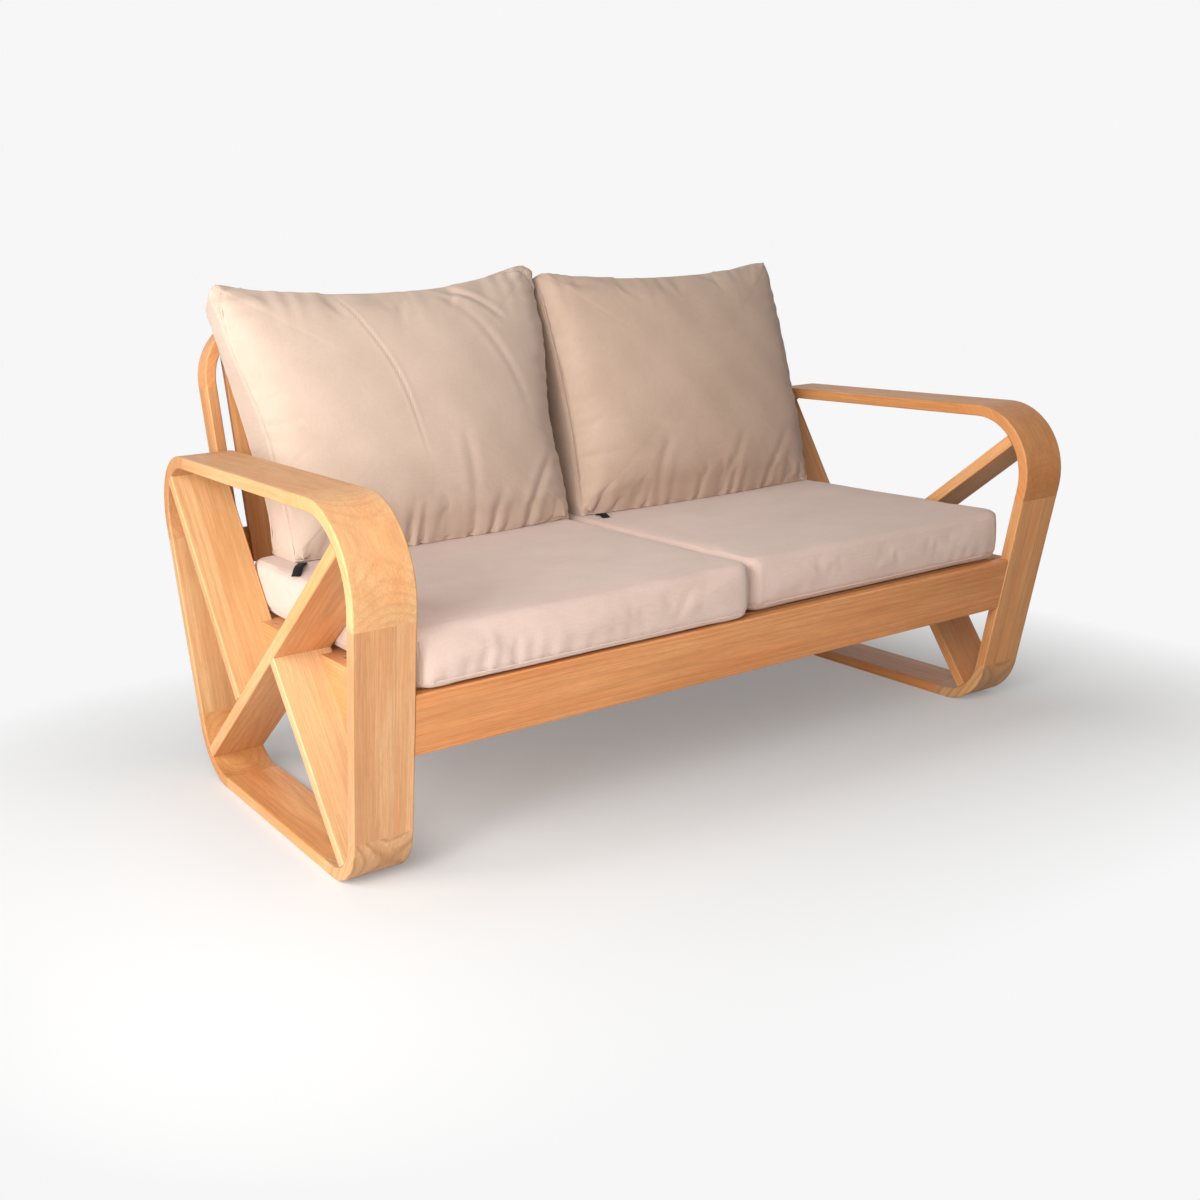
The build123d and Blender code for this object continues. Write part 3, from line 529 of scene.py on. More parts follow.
@dataclass
class WoodenFrame:
    """The loops, struts, rails, slats and back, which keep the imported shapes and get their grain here."""

    brace_way: Point = (0.0, 0.700, -0.503)
    rear_strut_way: Point = (0.0, 0.246, 0.392)
    front_strut_way: Point = (0.0, 0.208, 0.289)
    front_leg_way: Point = (0.0, -math.sin(FRONT_LEAN), math.cos(FRONT_LEAN))
    rear_leg_way: Point = (0.0, math.sin(BACK_LEAN), math.cos(BACK_LEAN))
    leg_strip: float = 0.0345
    stile_strip: float = 0.0158
    seat_slats: int = 6
    back_slats: int = 9
    seed: int = field(default=0, init=False)

    def dress_board(self, name: str, board: Board) -> None:
        """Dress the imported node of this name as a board."""
        self.seed += 1
        low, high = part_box(name)
        placed = replace(board, centre=tuple((low + high) / 2), seed=self.seed)
        clad(name, TEAK.material(f"teak_{name}", placed))

    def dress_loop(self, side: Side) -> None:
        """Dress one side's loop with its struts and rail."""
        rift, block = Cut.RIFT, Cut.BLOCK
        leg = Board(self.front_leg_way, cut=rift, strips=self.leg_strip)
        # Each tint holds the board's own tone and painted light: on this loop, nearest the lamps, the lit
        # boards are tinted paler
        boards = {
            "armrest": Board(DEPTHWISE, tint=(1.05, 1.08, 1.13), rings=0.8),
            "front_leg": replace(leg, tint=(1.03, 1.06, 1.16), rings=0.5),
            "runner": Board(DEPTHWISE, tint=(1.20, 1.12, 1.00), rings=1.1),
            "rear_leg": Board(self.rear_leg_way, tint=(1.0, 1.10, 1.18), rings=0.9),
            "front_upper_corner": Board((0.0, 0.6, 0.8), cut=block, tint=(1.12, 1.19, 1.24), rings=0.7),
            "front_lower_corner": Board((0.0, -0.6, 0.8), cut=block, tint=(1.04, 1.13, 1.22), rings=2.0),
            "rear_upper_corner": Board((0.0, -0.7, 0.7), cut=block, tint=(0.90, 0.86, 0.84), rings=0.8),
            "rear_lower_corner": Board((0.0, 0.7, 0.7), cut=block, tint=(0.98, 0.90, 0.76)),
            "long_brace": Board(self.brace_way, tint=(1.20, 1.24, 1.28)),
            "rear_strut": Board(self.rear_strut_way, tint=(1.06, 1.18, 1.22)),
            "front_strut": Board(self.front_strut_way, cut=rift, tint=(1.10, 1.25, 1.42), rings=0.6),
            "side_rail": Board(DEPTHWISE, UPRIGHT, rift),
        }
        if side is Side.RIGHT:
            # The right loop lies further from the lamps, so its boards get darker, warmer tints: painted
            # shade
            shaded_right_boards = {
                "armrest": ((1.0, 0.88, 0.72), 0.9),
                "front_leg": ((1.20, 1.08, 0.97), 0.5),
                "front_strut": ((1.05, 0.90, 0.78), 0.6),
                "rear_strut": ((1.05, 0.98, 0.90), 1.0),
                "runner": ((1.15, 1.0, 0.85), 1.0),
                "front_upper_corner": ((1.02, 0.86, 0.68), 0.6),
            }
            for part, (tint, rings) in shaded_right_boards.items():
                boards[part] = replace(boards[part], tint=tint, rings=rings)
        for part, board in boards.items():
            self.dress_board(f"{side.word}_{part}", board)

    def dress(self) -> None:
        """Dress every wooden node and the fasteners."""
        for side in Side:
            self.dress_loop(side)
        self.dress_board("front_rail", Board(LENGTHWISE, self.front_leg_way, tint=(1.16, 0.97, 0.83)))
        self.dress_board("rear_rail", Board(LENGTHWISE, UPRIGHT, Cut.RIFT))
        self.dress_board("centre_bearer", Board(DEPTHWISE, UPRIGHT, Cut.RIFT))
        for i in range(self.seat_slats):
            self.dress_board(f"seat_slat_{i + 1}", Board(LENGTHWISE, DEPTHWISE))
        self.dress_board("back_top_rail", Board(LENGTHWISE, self.rear_leg_way, Cut.RIFT))
        self.dress_board("back_lower_rail", Board(LENGTHWISE, self.rear_leg_way))
        for side in Side:
            corner = Board((side.value * 0.7, 0.0, 0.7), DEPTHWISE, Cut.BLOCK, rings=0.7)
            stile = Board(self.rear_leg_way, DEPTHWISE, Cut.RIFT, strips=self.stile_strip)
            self.dress_board(f"back_{side.word}_corner", corner)
            self.dress_board(f"back_{side.word}_stile", stile)
        for i in range(self.back_slats):
            self.dress_board(f"back_slat_{i + 1}", Board(self.rear_leg_way))
        for name in ("loop_tenons", "dowels"):
            self.dress_board(name, Board(DEPTHWISE, cut=Cut.RIFT))
        steel = Steel().material("satin_steel")
        for name in ("frame_bolts", "threaded_inserts", "slat_screws"):
            clad(name, steel)


# Sewn pieces


def link(mesh: bpy.types.Mesh, name: str, material: bpy.types.Material) -> bpy.types.Object:
    """Put a mesh into the scene, smooth, with one material.

    Args:
        mesh: the mesh.
        name: the piece's name.
        material: its finish.

    Returns:
        The new piece.
    """
    piece = bpy.data.objects.new(name, mesh)
    bpy.context.scene.collection.objects.link(piece)
    mesh.materials.clear()
    mesh.materials.append(material)
    mesh.polygons.foreach_set("use_smooth", [True] * len(mesh.polygons))
    return piece


def places(piece: bpy.types.Object, key: str = "co") -> np.ndarray:
    """Return the places of a piece's vertices as rows, or what they hold under another key."""
    flat = np.empty(len(piece.data.vertices) * 3)
    piece.data.vertices.foreach_get(key, flat)
    return flat.reshape(-1, 3)


def normals(piece: bpy.types.Object) -> np.ndarray:
    """Return the normals of a piece's vertices as rows."""
    return places(piece, "normal")


def set_places(piece: bpy.types.Object, rows: np.ndarray) -> None:
    """Move the piece's vertices to these rows."""
    piece.data.vertices.foreach_set("co", rows.ravel())
    piece.data.update()


def apply_modifiers(piece: bpy.types.Object) -> None:
    """Bake a piece's modifiers into its mesh."""
    baked = bpy.data.meshes.new_from_object(piece.evaluated_get(bpy.context.evaluated_depsgraph_get()))
    piece.modifiers.clear()
    old = piece.data
    piece.data = baked
    bpy.data.meshes.remove(old)


def smooth_step(value: np.ndarray, low: float, high: float) -> np.ndarray:
    """Return a smooth rise from 0 at low to 1 at high."""
    share = np.clip((value - low) / (high - low), 0.0, 1.0)
    return share * share * (3.0 - 2.0 * share)


def slanted_waves(first: np.ndarray, second: np.ndarray, table: tuple[Point, ...],
                  phase: float) -> np.ndarray:
    """Add up slanted waves.

    Args:
        first: one coordinate.
        second: the other coordinate.
        table: each wave's frequency along both coordinates, and its strength.
        phase: the first wave's phase. Each further wave has it once more.

    Returns:
        The height of the sum.
    """
    return sum(
        strength * np.sin(first * first_rate + second * second_rate + phase * (i + 1))
        for i, (first_rate, second_rate, strength) in enumerate(table)
    )


def distance_to_path(spots: np.ndarray, path: np.ndarray) -> tuple[np.ndarray, np.ndarray]:
    """Measure how far flat spots lie from a path.

    Args:
        spots: rows of two coordinates.
        path: the path's corners, as rows of two.

    Returns:
        The distance of each spot, and the share of the path's length at its nearest place.
    """
    best = np.full(len(spots), np.inf)
    share = np.zeros(len(spots))
    steps = np.linalg.norm(np.diff(path, axis=0), axis=1)
    total = steps.sum()
    before = 0.0
    for start, end, step in zip(path[:-1], path[1:], steps):
        way = (end - start) / step
        on = np.clip((spots - start) @ way, 0.0, step)
        away = np.linalg.norm(spots - start - on[:, None] * way, axis=1)
        closer = away < best
        best = np.where(closer, away, best)
        share = np.where(closer, (before + on) / total, share)
        before += step
    return best, share


def rounded_path(path: np.ndarray) -> np.ndarray:
    """Return a path with its corners cut three times, so that it bends softly."""
    for _ in range(3):
        early = path[:-1] * 0.75 + path[1:] * 0.25
        late = path[:-1] * 0.25 + path[1:] * 0.75
        inner = np.stack([early, late], axis=1).reshape(-1, 2)
        path = np.vstack([path[:1], inner[1:-1], path[-1:]])
    return path


def rounded_loop(low: Spot, high: Spot, radius: float, steps: int, level: float) -> list[Vector]:
    """Walk round a rectangle with rounded corners.

    Args:
        low: its lowest corner.
        high: its highest corner.
        radius: the radius of its corners.
        steps: the chords in each corner.
        level: its height.

    Returns:
        Points at even distances round it.
    """
    points: list[Vector] = []
    left, right = low[0] + radius, high[0] - radius
    near, far = low[1] + radius, high[1] - radius
    for i, (x, y) in enumerate(((left, near), (right, near), (right, far), (left, far))):
        centre = Vector((x, y, level))
        for step in range(steps + 1):
            angle = math.pi + (i + step / steps) * QUARTER
            points.append(centre + Vector((math.cos(angle), math.sin(angle), 0)) * radius)
    dense: list[Vector] = []
    for point, following in zip(points, points[1:] + points[:1]):
        count = max(1, int((following - point).length / SEAM_STEP))
        dense += [point.lerp(following, k / count) for k in range(count)]
    return dense


@dataclass(frozen=True)
class Fold:
    """A soft fold in a panel: where it runs, how deep it is and how wide."""

    path: tuple[Spot, ...]
    depth: float
    width: float


@dataclass(frozen=True)
class Gather:
    """A short pleat at a panel's foot: its place as a share of the half width, its tilt and its strength."""

    place: float
    tilt: float
    strength: float


CLOTH_SETTINGS = {
    "quality": 5,
    "mass": 0.3,
    "tension_stiffness": 12.0,
    "compression_stiffness": 12.0,
    "shear_stiffness": 4.0,
    "bending_stiffness": 0.6,
    "use_pressure": True,
}


@dataclass
class SoftPad:
    """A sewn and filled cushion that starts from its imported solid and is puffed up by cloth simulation."""

    side: Side
    kind: str
    canvas: Canvas
    pressure: float
    reach: float
    fill: float
    lean: float = 0.0
    voxel: float = 0.0075
    shrink: float = 0.003
    seam_radius: float = 0.0016
    seam_groove: float = 0.0028
    seam_spread: float = 0.0055
    seam_sink_share: float = 0.4
    seam_rounds: int = 12
    seam_chunk: int = 40
    frames: int = 20
    seed: int = 1

    @property
    def node(self) -> str:
        """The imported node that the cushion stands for."""
        return f"{self.side.word}_{self.kind}_cushion"

    @property
    def body(self) -> str:
        """The body that the cushion rides on."""
        return f"{self.side.word}_{self.kind}_pad"

    def axes(self) -> Matrix:
        """Return the cushion's own axes as rows: along the seat, up its lean, and out of its front."""
        sine, cosine = math.sin(self.lean), math.cos(self.lean)
        return Matrix(((1, 0, 0), (0, sine, cosine), (0, -cosine, sine)))

    def start(self) -> bpy.types.Object:
        """Return a new piece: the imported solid, remeshed into even faces and a little smaller."""
        shell = bmesh.new()
        shell.from_mesh(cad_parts[self.node].data)
        bmesh.ops.remove_doubles(shell, verts=shell.verts, dist=MERGE_DISTANCE)
        bmesh.ops.recalc_face_normals(shell, faces=shell.faces)
        mesh = bpy.data.meshes.new(self.node)
        shell.to_mesh(mesh)
        shell.free()
        piece = link(mesh, f"{self.node}_sewn", self.canvas.material(f"canvas_{self.node}", self.seed))
        remesh = piece.modifiers.new("even_faces", "REMESH")
        remesh.mode = "VOXEL"
        remesh.voxel_size = self.voxel
        apply_modifiers(piece)
        set_places(piece, places(piece) - normals(piece) * self.shrink)
        return piece

    def puff(self, piece: bpy.types.Object) -> None:
        """Blow the piece up as cloth, and keep the result."""
        scene = bpy.context.scene
        before = places(piece)
        cloth = piece.modifiers.new("cloth", "CLOTH")
        for key, value in CLOTH_SETTINGS.items():
            setattr(cloth.settings, key, value)
        cloth.settings.uniform_pressure_force = self.pressure
        cloth.settings.effector_weights.gravity = 0.0
        cloth.point_cache.frame_start = 1
        cloth.point_cache.frame_end = self.frames
        for step in range(1, self.frames + 1):
            scene.frame_set(step)
        apply_modifiers(piece)
        scene.frame_set(1)
        moved = places(piece) - before
        far = np.linalg.norm(moved, axis=1, keepdims=True)
        cap = self.reach * np.tanh(far / self.reach) / np.maximum(far, np.finfo(float).tiny)
        set_places(piece, before + moved * cap)

    def refine(self, piece: bpy.types.Object) -> None:
        """Subdivide the piece once."""
        finer = piece.modifiers.new("finer", "SUBSURF")
        finer.levels = 1
        finer.render_levels = 1
        apply_modifiers(piece)

    def seam(self, piece: bpy.types.Object, name: str, path: list[Vector], closed: bool) -> bpy.types.Object:
        """Sew a seam: a shallow groove in the cushion, and a thin ridge of folded cloth in it.

        Args:
            piece: the cushion.
            name: the seam's name.
            path: points near the surface that the seam follows.
            closed: whether it runs round.

        Returns:
            The ridge.
        """
        surface = BVHTree.FromObject(piece, bpy.context.evaluated_depsgraph_get())
        found = [surface.find_nearest(point) for point in path]
        line = np.array([hit[0] for hit in found])
        outward = np.array([hit[1] for hit in found])
        for _ in range(self.seam_rounds):
            smooth = (np.roll(line, -1, axis=0) + np.roll(line, 1, axis=0) + 2.0 * line) / 4.0
            if not closed:
                smooth[0], smooth[-1] = line[0], line[-1]
            line = smooth
        rows = places(piece)
        nearest = np.full(len(rows), np.inf)
        for chunk in np.array_split(line, max(1, len(line) // self.seam_chunk)):
            gaps = np.linalg.norm(rows[:, None, :] - chunk[None, :, :], axis=2)
            nearest = np.minimum(nearest, gaps.min(axis=1))
        groove = self.seam_groove * np.exp(-((nearest / self.seam_spread) ** 2))
        set_places(piece, rows - normals(piece) * groove[:, None])
        line = line - outward * (self.seam_groove - self.seam_radius * self.seam_sink_share)
        curve = bpy.data.curves.new(name, "CURVE")
        curve.dimensions = "3D"
        curve.bevel_depth = self.seam_radius
        curve.bevel_resolution = 2
        curve.use_fill_caps = not closed
        spline = curve.splines.new("POLY")
        spline.points.add(len(line) - 1)
        for point, place in zip(spline.points, line):
            point.co = (*place, 1.0)
        spline.use_cyclic_u = closed
        cord = bpy.data.objects.new(f"{name}_line", curve)
        mesh = bpy.data.meshes.new_from_object(cord)
        bpy.data.objects.remove(cord)
        return link(mesh, name, piece.data.materials[0])

    def hand_over(self, piece: bpy.types.Object, seams: list[bpy.types.Object]) -> None:
        """Tie the finished cushion and its seams to the frame."""
        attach(piece, self.body)
        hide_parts(self.node)
        for ridge in seams:
            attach(ridge, self.body)
        LOG.info("made %s with %d faces", piece.name, len(piece.data.polygons))


@dataclass
class SeatPad(SoftPad):
    """A firm seat cushion with a boxed edge and a seam low on its sides."""

    kind: str = "seat"
    canvas: Canvas = SEAT_CANVAS
    pressure: float = 1.2
    reach: float = 0.003
    fill: float = 0.9
    voxel: float = 0.009
    shrink: float = 0.0015
    seam_height: float = 0.011
    corner: float = 0.032
    corner_steps: int = 8
    corner_seam_share: float = 0.6
    rise_short: float = 0.030
    rise_steps: int = 14
    packed_edge: float = 0.026
    sewn_edge: float = 0.012
    side_fade: float = 0.06
    steep: float = 0.05
    top_fade: float = 0.04
    crown: float = 0.003
    crown_power: int = 4
    crown_span: Spot = (-0.35, 0.2)
    faces_up: Spot = (0.5, 0.9)
    faces_aside: Spot = (0.3, 0.85)
    wave_depth: float = 0.00072
    wave_table: tuple[Point, ...] = ((17, 9, 1.0), (-11, 31, 0.7), (47, 23, 0.5))
    phase_step: float = 2.1
    pucker_depth: float = 0.0008
    pucker_pitch: float = 0.034
    pucker_drift: Spot = (1.8, 23)
    pucker_second: Spot = (0.6, 1.7)
    pucker_rest: float = 0.45
    pucker_swell: Spot = (8.3, 1.3)
    pucker_reach_share: float = 0.9
    bulge: float = 0.003
    side_gap: float = 0.0004
    flat_from_share: float = 0.3

    def sharpen(self, piece: bpy.types.Object) -> None:
        """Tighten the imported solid's upper edge to the smaller radius of the sewn one."""
        low, high = (np.array(corner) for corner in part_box(self.node))
        rows, out = places(piece), normals(piece)
        middle, half = (low + high) / 2, (high - low) / 2
        inset = half[:2] - np.abs(rows[:, :2] - middle[:2])
        edge = self.packed_edge
        near_side = 1 - smooth_step(inset.min(axis=1), edge, edge + self.side_fade)
        near_top = 1 - smooth_step(high[2] - rows[:, 2], edge, edge + self.top_fade)
        level = np.linalg.norm(out[:, :2], axis=1)
        nearest = np.eye(2)[inset.argmin(axis=1)] * np.sign(rows[:, :2] - middle[:2])
        outward = out[:, :2] / np.maximum(level, self.steep)[:, None]
        flat = np.where((level > self.steep)[:, None], outward, nearest)
        gain = (edge - self.sewn_edge) * near_side * near_top
        rows[:, :2] += flat * (gain * (1 - level))[:, None]
        rows[:, 2] += gain * (1 - np.clip(out[:, 2], 0, 1))
        set_places(piece, rows)

    def shape(self, piece: bpy.types.Object) -> None:
        """Crown the top, flatten the underside and wrinkle the sides."""
        low, high = (np.array(corner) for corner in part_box(self.node))
        rows, out = places(piece), normals(piece)
        middle, half = (low + high) / 2, (high - low) / 2
        share = (rows - middle) / half
        phase = self.seed * self.phase_step
        top = smooth_step(out[:, 2], *self.faces_up)
        dome = np.prod(1 - np.clip(np.abs(share[:, :2]), 0, 1) ** self.crown_power, axis=1)
        forward = smooth_step(-share[:, 1], *self.crown_span)
        waves = slanted_waves(rows[:, 0], rows[:, 1], self.wave_table, phase)
        rows[:, 2] += top * dome * (self.crown * forward + self.wave_depth * waves)
        side = 1.0 - smooth_step(np.abs(out[:, 2]), *self.faces_aside)
        around = rows[:, 0] + rows[:, 1]
        drift, drift_rate = self.pucker_drift
        second, stretch = self.pucker_second
        swell_rate, swell_phase = self.pucker_swell
        wobble = np.sin(around * TAU / self.pucker_pitch + drift * np.sin(around * drift_rate + phase))
        wobble += second * np.sin(around * TAU / (self.pucker_pitch * stretch) + phase)
        fade = np.exp(-((rows[:, 2] - low[2]) / (half[2] * self.pucker_reach_share)) ** 2)
        swell = np.sin(around * swell_rate + phase * swell_phase)
        strength = self.pucker_rest + (1 - self.pucker_rest) * swell
        rows += out * (side * fade * wobble * strength * self.pucker_depth)[:, None]
        bulge = side * np.cos(np.clip(share[:, 2], -1, 1) * QUARTER) * self.bulge
        rows[:, :2] += out[:, :2] * bulge[:, None]
        rows[:, 2] = np.maximum(rows[:, 2], low[2])
        rows[:, 0] = np.clip(rows[:, 0], low[0] + self.side_gap, high[0] - self.side_gap)
        under_back = share[:, 1] > self.flat_from_share
        rows[:, 2] = np.where(under_back, np.minimum(rows[:, 2], high[2]), rows[:, 2])
        set_places(piece, rows)

    def build(self) -> None:
        """Make the cushion with its seams."""
        piece = self.start()
        self.puff(piece)
        self.refine(piece)
        self.sharpen(piece)
        self.shape(piece)
        low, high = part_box(self.node)
        name = f"{self.node}_seam"
        foot = low.z + self.seam_height
        ring = rounded_loop(low.xy, high.xy, self.corner, self.corner_steps, foot)
        seams = [self.seam(piece, f"{name}_low", ring, True)]
        turn = self.corner * (1 - math.sqrt(0.5)) * self.corner_seam_share
        length = high.z - low.z - self.rise_short
        for word, x in (("left", low.x + turn), ("right", high.x - turn)):
            rise = [
                Vector((x, low.y + turn, foot + length * k / self.rise_steps))
                for k in range(self.rise_steps + 1)
            ]
            seams.append(self.seam(piece, f"{name}_{word}", rise, False))
        self.hand_over(piece, seams)


@dataclass
class BackPad(SoftPad):
    """A plump back cushion with a boxed edge, pulled corners, long creases and gathers along its foot."""

    kind: str = "back"
    canvas: Canvas = LEFT_BACK_CANVAS
    pressure: float = 4.0
    reach: float = 0.010
    fill: float = 0.65
    lean: float = CUSHION_LEAN
    boxing: float = 0.105
    front_crown: float = 0.040
    rear_crown: float = 0.016
    swell_reach: float = 0.08
    swell_points: int = 65
    corner: float = 0.028
    corner_steps: int = 6
    plump: float = 0.068
    fullness: float = 2.2
    softness: float = 0.55
    belly: float = 0.18
    folds: tuple[Fold, ...] = ()
    gathers: tuple[Gather, ...] = ()
    # How far the upper corners rise and part, and how far the foot and the front's corner move at the left
    ears: Spot = (0.0, 0.0)
    spread: Spot = (0.0, 0.0)
    tuck: float = 0.0
    front_corner: float = 0.0
    corner_span: Spot = (-0.2, 1.0)
    spread_span: Spot = (-0.2, 0.5)
    tuck_span: Spot = (-1.0, 0.6)
    faces_panel: Spot = (0.15, 0.6)
    # The ridge beside a fold or a gather: its height, place and width as shares of the valley's
    fold_ends: float = 0.6
    fold_ridge: Point = (0.55, 2.1, 1.2)
    gather_depth: float = 0.0030
    gather_reach: float = 0.19
    gather_strength: Spot = (0.4, 0.6)
    gather_width: Spot = (0.0050, 0.0070)
    gather_fade: float = 1.4
    gather_ridge: Point = (0.7, 2.2, 1.4)
    wave_depth: float = 0.0007
    wave_table: tuple[Point, ...] = ((21, 5, 1.0), (-13, 34, 0.7), (55, 38, 0.5))
    phase_step: float = 1.9
    # The ripples along an edge: their depth and rate, and the strength and rate of their drift
    edge_power: int = 6
    side_ripple: Span = (0.0013, 150, 2.2, 31)
    top_ripple: Span = (0.0012, 130, 2.4, 27)
    # Where the cushion rests on the seat, meets its neighbour, and leans on the slats and the rail
    foot_flat: Spot = (0.02, 0.05)
    faces_down: Spot = (0.25, 0.75)
    meeting: float = 0.002
    meeting_overlap: float = 0.018
    meeting_heights: Spot = (0.66, 0.74)
    meeting_gap: float = 0.001
    slat_depth: float = 0.0175
    rail_gap: float = 0.0006
    rail_margin: Spot = (0.012, 0.004)

    def measure(self) -> tuple[Vector, float, float]:
        """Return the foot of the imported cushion's rear seam, its half width and its height."""
        low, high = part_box(self.node)
        axes = self.axes()
        corners = [axes @ v.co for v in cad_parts[self.node].data.vertices]
        up = [c.y for c in corners]
        rear = min(c.z for c in corners) + self.rear_crown
        return Vector(((low.x + high.x) / 2, min(up), rear)), (high.x - low.x) / 2, max(up) - min(up)

    def packed_swell(self, share: np.ndarray) -> np.ndarray:
        """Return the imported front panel's swell, in crowns, at a share of its width or height."""
        step = np.linspace(0.0, 1.0, self.swell_points)
        rest = 1.0 - step
        near, far = self.swell_reach, 1 - self.swell_reach
        run = 3 * rest**2 * step * near + 3 * rest * step**2 * far + step**3
        return np.interp(share, run, 4 * step * rest)

    def shape(self, piece: bpy.types.Object) -> None:
        """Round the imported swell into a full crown, pull the corners out, then wrinkle the cloth."""
        foot, half, height = self.measure()
        axes = np.array(self.axes())
        rows = places(piece) @ axes.T
        u = np.clip((rows[:, 0] - foot.x) / half, -1, 1)
        v = np.clip((rows[:, 1] - foot.y) / height * 2 - 1, -1, 1)
        ahead = np.clip((rows[:, 2] - foot.z) / self.boxing, 0, 1)
        low_v = v + self.belly * (1 - v * v)
        crown = ((1 - np.abs(u) ** self.fullness) * (1 - np.abs(low_v) ** self.fullness)) ** self.softness
        packed = np.minimum(self.packed_swell((u + 1) / 2), self.packed_swell((v + 1) / 2))
        rows[:, 2] += ahead * (self.plump * crown - self.front_crown * packed)
        packed = 1 - np.maximum(np.abs(u), np.abs(v)) ** 2
        rows[:, 2] -= (1 - ahead) * self.rear_crown * (crown - packed)
        top = smooth_step(v, 0.0, 1.0)
        upper = smooth_step(v, *self.spread_span)
        front_upper = smooth_step(v, *self.corner_span)
        foot_share = 1 - smooth_step(v, *self.tuck_span)
        right = smooth_step(u, *self.corner_span) ** 3
        left = smooth_step(-u, *self.corner_span) ** 3
        rows[:, 1] += top**2 * (left * self.ears[0] + right * self.ears[1])
        rows[:, 0] += top * left * self.spread[0] + upper * right * self.spread[1]
        rows[:, 0] += foot_share * left * self.tuck
        rows[:, 0] -= ahead * front_upper * left * self.front_corner
        set_places(piece, rows @ axes)
        self.wrinkle(piece, foot, half, height)

    def crease(self, away: np.ndarray, width: np.ndarray | float, ridge: Point) -> np.ndarray:
        """Return the height of a valley with a ridge beside it.

        Args:
            away: the distance from the valley.
            width: the valley's width.
            ridge: the ridge's height, place and width as shares of the valley's.

        Returns:
            The height, of which -1 is the valley's depth.
        """
        share, place, spread = ridge
        hill = np.exp(-(((away - place * width) / (spread * width)) ** 2))
        return share * hill - np.exp(-((away / width) ** 2))

    def ripple(self, along: np.ndarray, inset: np.ndarray, phase: float, ripple: Span) -> np.ndarray:
        """Return the small waves that the thread pulls into a panel's edge.

        Args:
            along: the place along the edge.
            inset: the place across it, 1 at the edge.
            phase: moves the waves.
            ripple: their depth and rate, and the strength and rate of their drift.

        Returns:
            Their height.
        """
        depth, rate, drift, drift_rate = ripple
        waves = np.sin(along * rate + drift * np.sin(along * drift_rate + phase))
        return np.clip(inset, 0, 1) ** self.edge_power * waves * depth

    def wrinkle(self, piece: bpy.types.Object, foot: Vector, half: float, height: float) -> None:
        """Fold, gather and ripple the front and rear panels.

        Args:
            piece: the cushion.
            foot: the foot of its rear seam.
            half: its half width.
            height: its height.
        """
        axes = np.array(self.axes())
        out = normals(piece)
        rows = places(piece)
        local = rows @ axes.T
        facing = (out @ axes.T)[:, 2]
        spots = np.stack([local[:, 0] - foot.x, local[:, 1] - foot.y - height / 2], axis=1)
        front = smooth_step(facing, *self.faces_panel)
        panels = front + smooth_step(-facing, *self.faces_panel)
        push = np.zeros(len(rows))
        scale = np.array([half, height / 2])
        for fold in self.folds:
            away, share = distance_to_path(spots, rounded_path(np.array(fold.path) * scale))
            ends = np.sin(np.clip(share, 0.0, 1.0) * math.pi) ** self.fold_ends
            push += front * ends * fold.depth * self.crease(away, fold.width, self.fold_ridge)
        least, more = self.gather_strength
        narrow, widening = self.gather_width
        for gather in self.gathers:
            start = np.array([gather.place * half, -height / 2])
            reach = height * self.gather_reach * (least + gather.strength * more)
            path = np.array([start, start + np.array([gather.tilt, 1.0]) * reach])
            away, share = distance_to_path(spots, path)
            pleat = self.crease(away, narrow + widening * share, self.gather_ridge)
            push += panels * self.gather_depth * gather.strength * pleat * (1 - share) ** self.gather_fade
        across, up = spots[:, 0], spots[:, 1]
        phase = self.seed * self.phase_step
        push += panels * slanted_waves(across, up, self.wave_table, phase) * self.wave_depth
        push += panels * self.ripple(up, np.abs(across) / half, phase, self.side_ripple)
        push += panels * self.ripple(across, up / (height / 2), phase, self.top_ripple)
        set_places(piece, rows + out * push[:, None])

    def settle(self, piece: bpy.types.Object) -> None:
        """Keep the cushion off the seat, its neighbour and the back."""
        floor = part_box(self.node)[0].z
        rows = places(piece)
        faces_down = smooth_step(-normals(piece)[:, 2], *self.faces_down)
        flat_from, flat_to = (floor + height for height in self.foot_flat)
        resting = faces_down * (1 - smooth_step(rows[:, 2], flat_from, flat_to))
        rows[:, 2] = np.maximum(rows[:, 2] * (1 - resting) + floor * resting, floor)
        meeting = self.meeting + self.meeting_overlap * smooth_step(rows[:, 2], *self.meeting_heights)
        if self.side is Side.LEFT:
            rows[:, 0] = np.minimum(rows[:, 0], meeting)
        else:
            rows[:, 0] = np.maximum(rows[:, 0], meeting + self.meeting_gap)
        slat_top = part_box("back_slat_5")[1]
        face = slat_top.y - (slat_top.z - rows[:, 2]) * math.tan(BACK_LEAN) - self.slat_depth
        rows[:, 1] = np.minimum(rows[:, 1], face)
        rail_low, rail_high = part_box("back_top_rail")
        below, above = self.rail_margin
        at_rail = (rows[:, 2] > rail_low.z - below) & (rows[:, 2] < rail_high.z + above)
        rows[:, 1] = np.where(at_rail, np.minimum(rows[:, 1], rail_low.y - self.rail_gap), rows[:, 1])
        set_places(piece, rows)

    def rim(self, out: float) -> list[Vector]:
        """Return points round the cushion, at a distance from its rear plane before it was shaped."""
        foot, half, height = self.measure()
        back = self.axes().transposed()
        ring = rounded_loop((-half, 0.0), (half, height), self.corner, self.corner_steps, out)
        return [back @ (foot + point) for point in ring]

    def build(self) -> None:
        """Make the cushion with its seams."""
        piece = self.start()
        self.puff(piece)
        self.refine(piece)
        self.shape(piece)
        self.settle(piece)
        name = f"{self.node}_seam"
        seams = [
            self.seam(piece, f"{name}_front", self.rim(self.boxing), True),
            self.seam(piece, f"{name}_rear", self.rim(0.0), True),
        ]
        self.hand_over(piece, seams)


